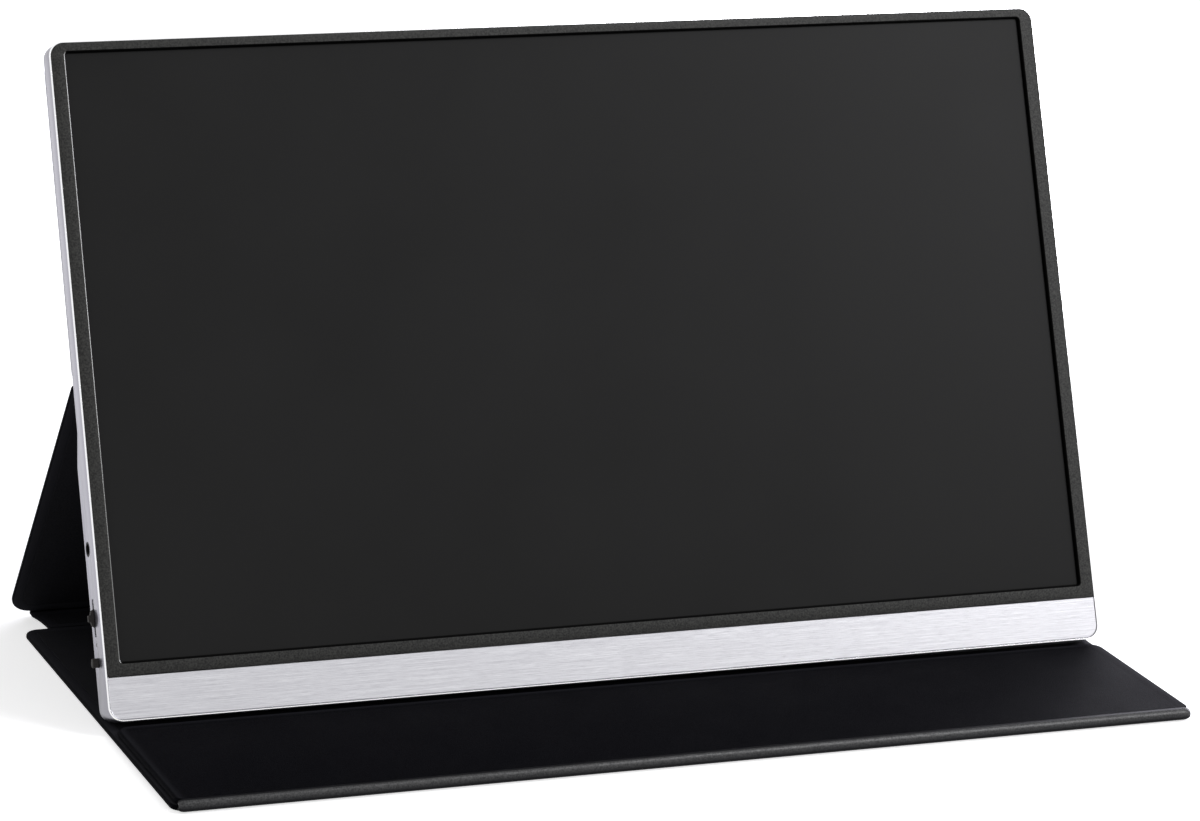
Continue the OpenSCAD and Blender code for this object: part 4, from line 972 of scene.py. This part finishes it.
def makeCamera():
    # the camera looks back along its azimuth and elevation, tipped by its roll, past the aim beside the foot
    azimuth, elevation, tip = (math.radians(view[key]) for key in ("azimuth", "elevation", "roll"))
    back = Vector((math.sin(azimuth) * math.cos(elevation), -math.cos(azimuth) * math.cos(elevation),
                   math.sin(elevation)))
    level = Vector((math.cos(azimuth), math.sin(azimuth), 0))
    plumb = back.cross(level)
    right = level * math.cos(tip) + plumb * math.sin(tip)
    up = plumb * math.cos(tip) - level * math.sin(tip)
    data = bpy.data.cameras.new("photoCamera")
    data.lens, data.sensor_width = view["lens"], view["sensor"]
    camera = bpy.data.objects.new("photoCamera", data)
    bpy.context.scene.collection.objects.link(camera)
    spot = right * view["aimX"] * mm + up * view["aimUp"] * mm + back * view["distance"] * mm
    camera.matrix_world = placeOf(spot + Vector((0, 0, edgeHeight)), right, up, back)
    bpy.context.scene.camera = camera


ambient = 0.42  # strength of the white world as light on the object
floor = {"size": 12.0, "drop": 0.0001, "colour": (235, 235, 236), "glow": 0.62}


def backgroundMask(tree):
    # 1 where the camera, a reflection or a glass piece looks straight at it
    path = addNode(tree, "ShaderNodeLightPath")
    seen = addNode(tree, "ShaderNodeMath", {
        0: path.outputs["Is Camera Ray"], 1: path.outputs["Is Glossy Ray"]}, operation="MAXIMUM")
    return addNode(tree, "ShaderNodeMath", {
        0: seen.outputs[0], 1: path.outputs["Is Transmission Ray"]}, operation="MAXIMUM").outputs[0]


def makeWorld():
    # white where it is seen, and only the ambient strength where it lights
    world = bpy.data.worlds.new("studioWorld")
    world.use_nodes = True
    tree = world.node_tree
    strength = addNode(tree, "ShaderNodeMath", {0: backgroundMask(tree), 1: 1 - ambient, 2: ambient},
                       operation="MULTIPLY_ADD")
    background = tree.nodes["Background"]
    background.inputs["Color"].default_value = (1, 1, 1, 1)
    tree.links.new(strength.outputs[0], background.inputs["Strength"])
    bpy.context.scene.world = world


def makeFloor():
    # a wide square just under the object, lit up towards white where it is seen
    mesh = bpy.data.meshes.new("studioFloor")
    half, z = floor["size"] / 2, -floor["drop"]
    square = [(-half, -half, z), (half, -half, z), (half, half, z), (-half, half, z)]
    mesh.from_pydata(square, [], [(0, 1, 2, 3)])
    piece = bpy.data.objects.new("studioFloor", mesh)
    bpy.context.scene.collection.objects.link(piece)
    material, tree, surface = newMaterial("floorWhite", Roughness=0.9, Specular_IOR_Level=0.0)
    surface.inputs["Base Color"].default_value = paint(*floor["colour"])
    glow = addNode(tree, "ShaderNodeMath", {0: backgroundMask(tree), 1: floor["glow"]}, operation="MULTIPLY")
    surface.inputs["Emission Color"].default_value = (1, 1, 1, 1)
    tree.links.new(glow.outputs[0], surface.inputs["Emission Strength"])
    mesh.materials.append(material)


lamps = {
    "keyLamp": {"spot": (1.15, -1.35, 0.75), "aim": (0.1, 0, 0.08), "size": (0.6, 0.6), "power": 0.5,
                "tint": (1.0, 0.985, 0.96)},
    "rollLamp": {"spot": (0.52, -0.5, 0.72), "aim": (0.16, -0.12, 0), "size": (0.2, 0.7), "power": 3.8,
                 "tint": (0.98, 0.98, 1)},
    "backLamp": {"spot": (0.95, 0.72, 0.38), "aim": (0.1, -0.06, 0), "size": (1.7, 0.5), "power": 24,
                 "tint": (0.9, 0.89, 1.0)},
}


def makeLamps():
    # rectangles of light, each turned from its spot to its aim
    for name, values in lamps.items():
        data = bpy.data.lights.new(name, "AREA")
        data.shape = "RECTANGLE"
        data.size, data.size_y = values["size"]
        data.energy, data.color = values["power"], values["tint"]
        lamp = bpy.data.objects.new(name, data)
        bpy.context.scene.collection.objects.link(lamp)
        lamp.location = values["spot"]
        lamp.rotation_mode = "QUATERNION"
        lamp.rotation_quaternion = (Vector(values["aim"]) - Vector(values["spot"])).to_track_quat("-Z", "Y")


makeCamera()
makeWorld()
makeFloor()
makeLamps()
bpy.context.scene.view_settings.view_transform = "Standard"
print("studio made")

bpy.context.view_layer.update()
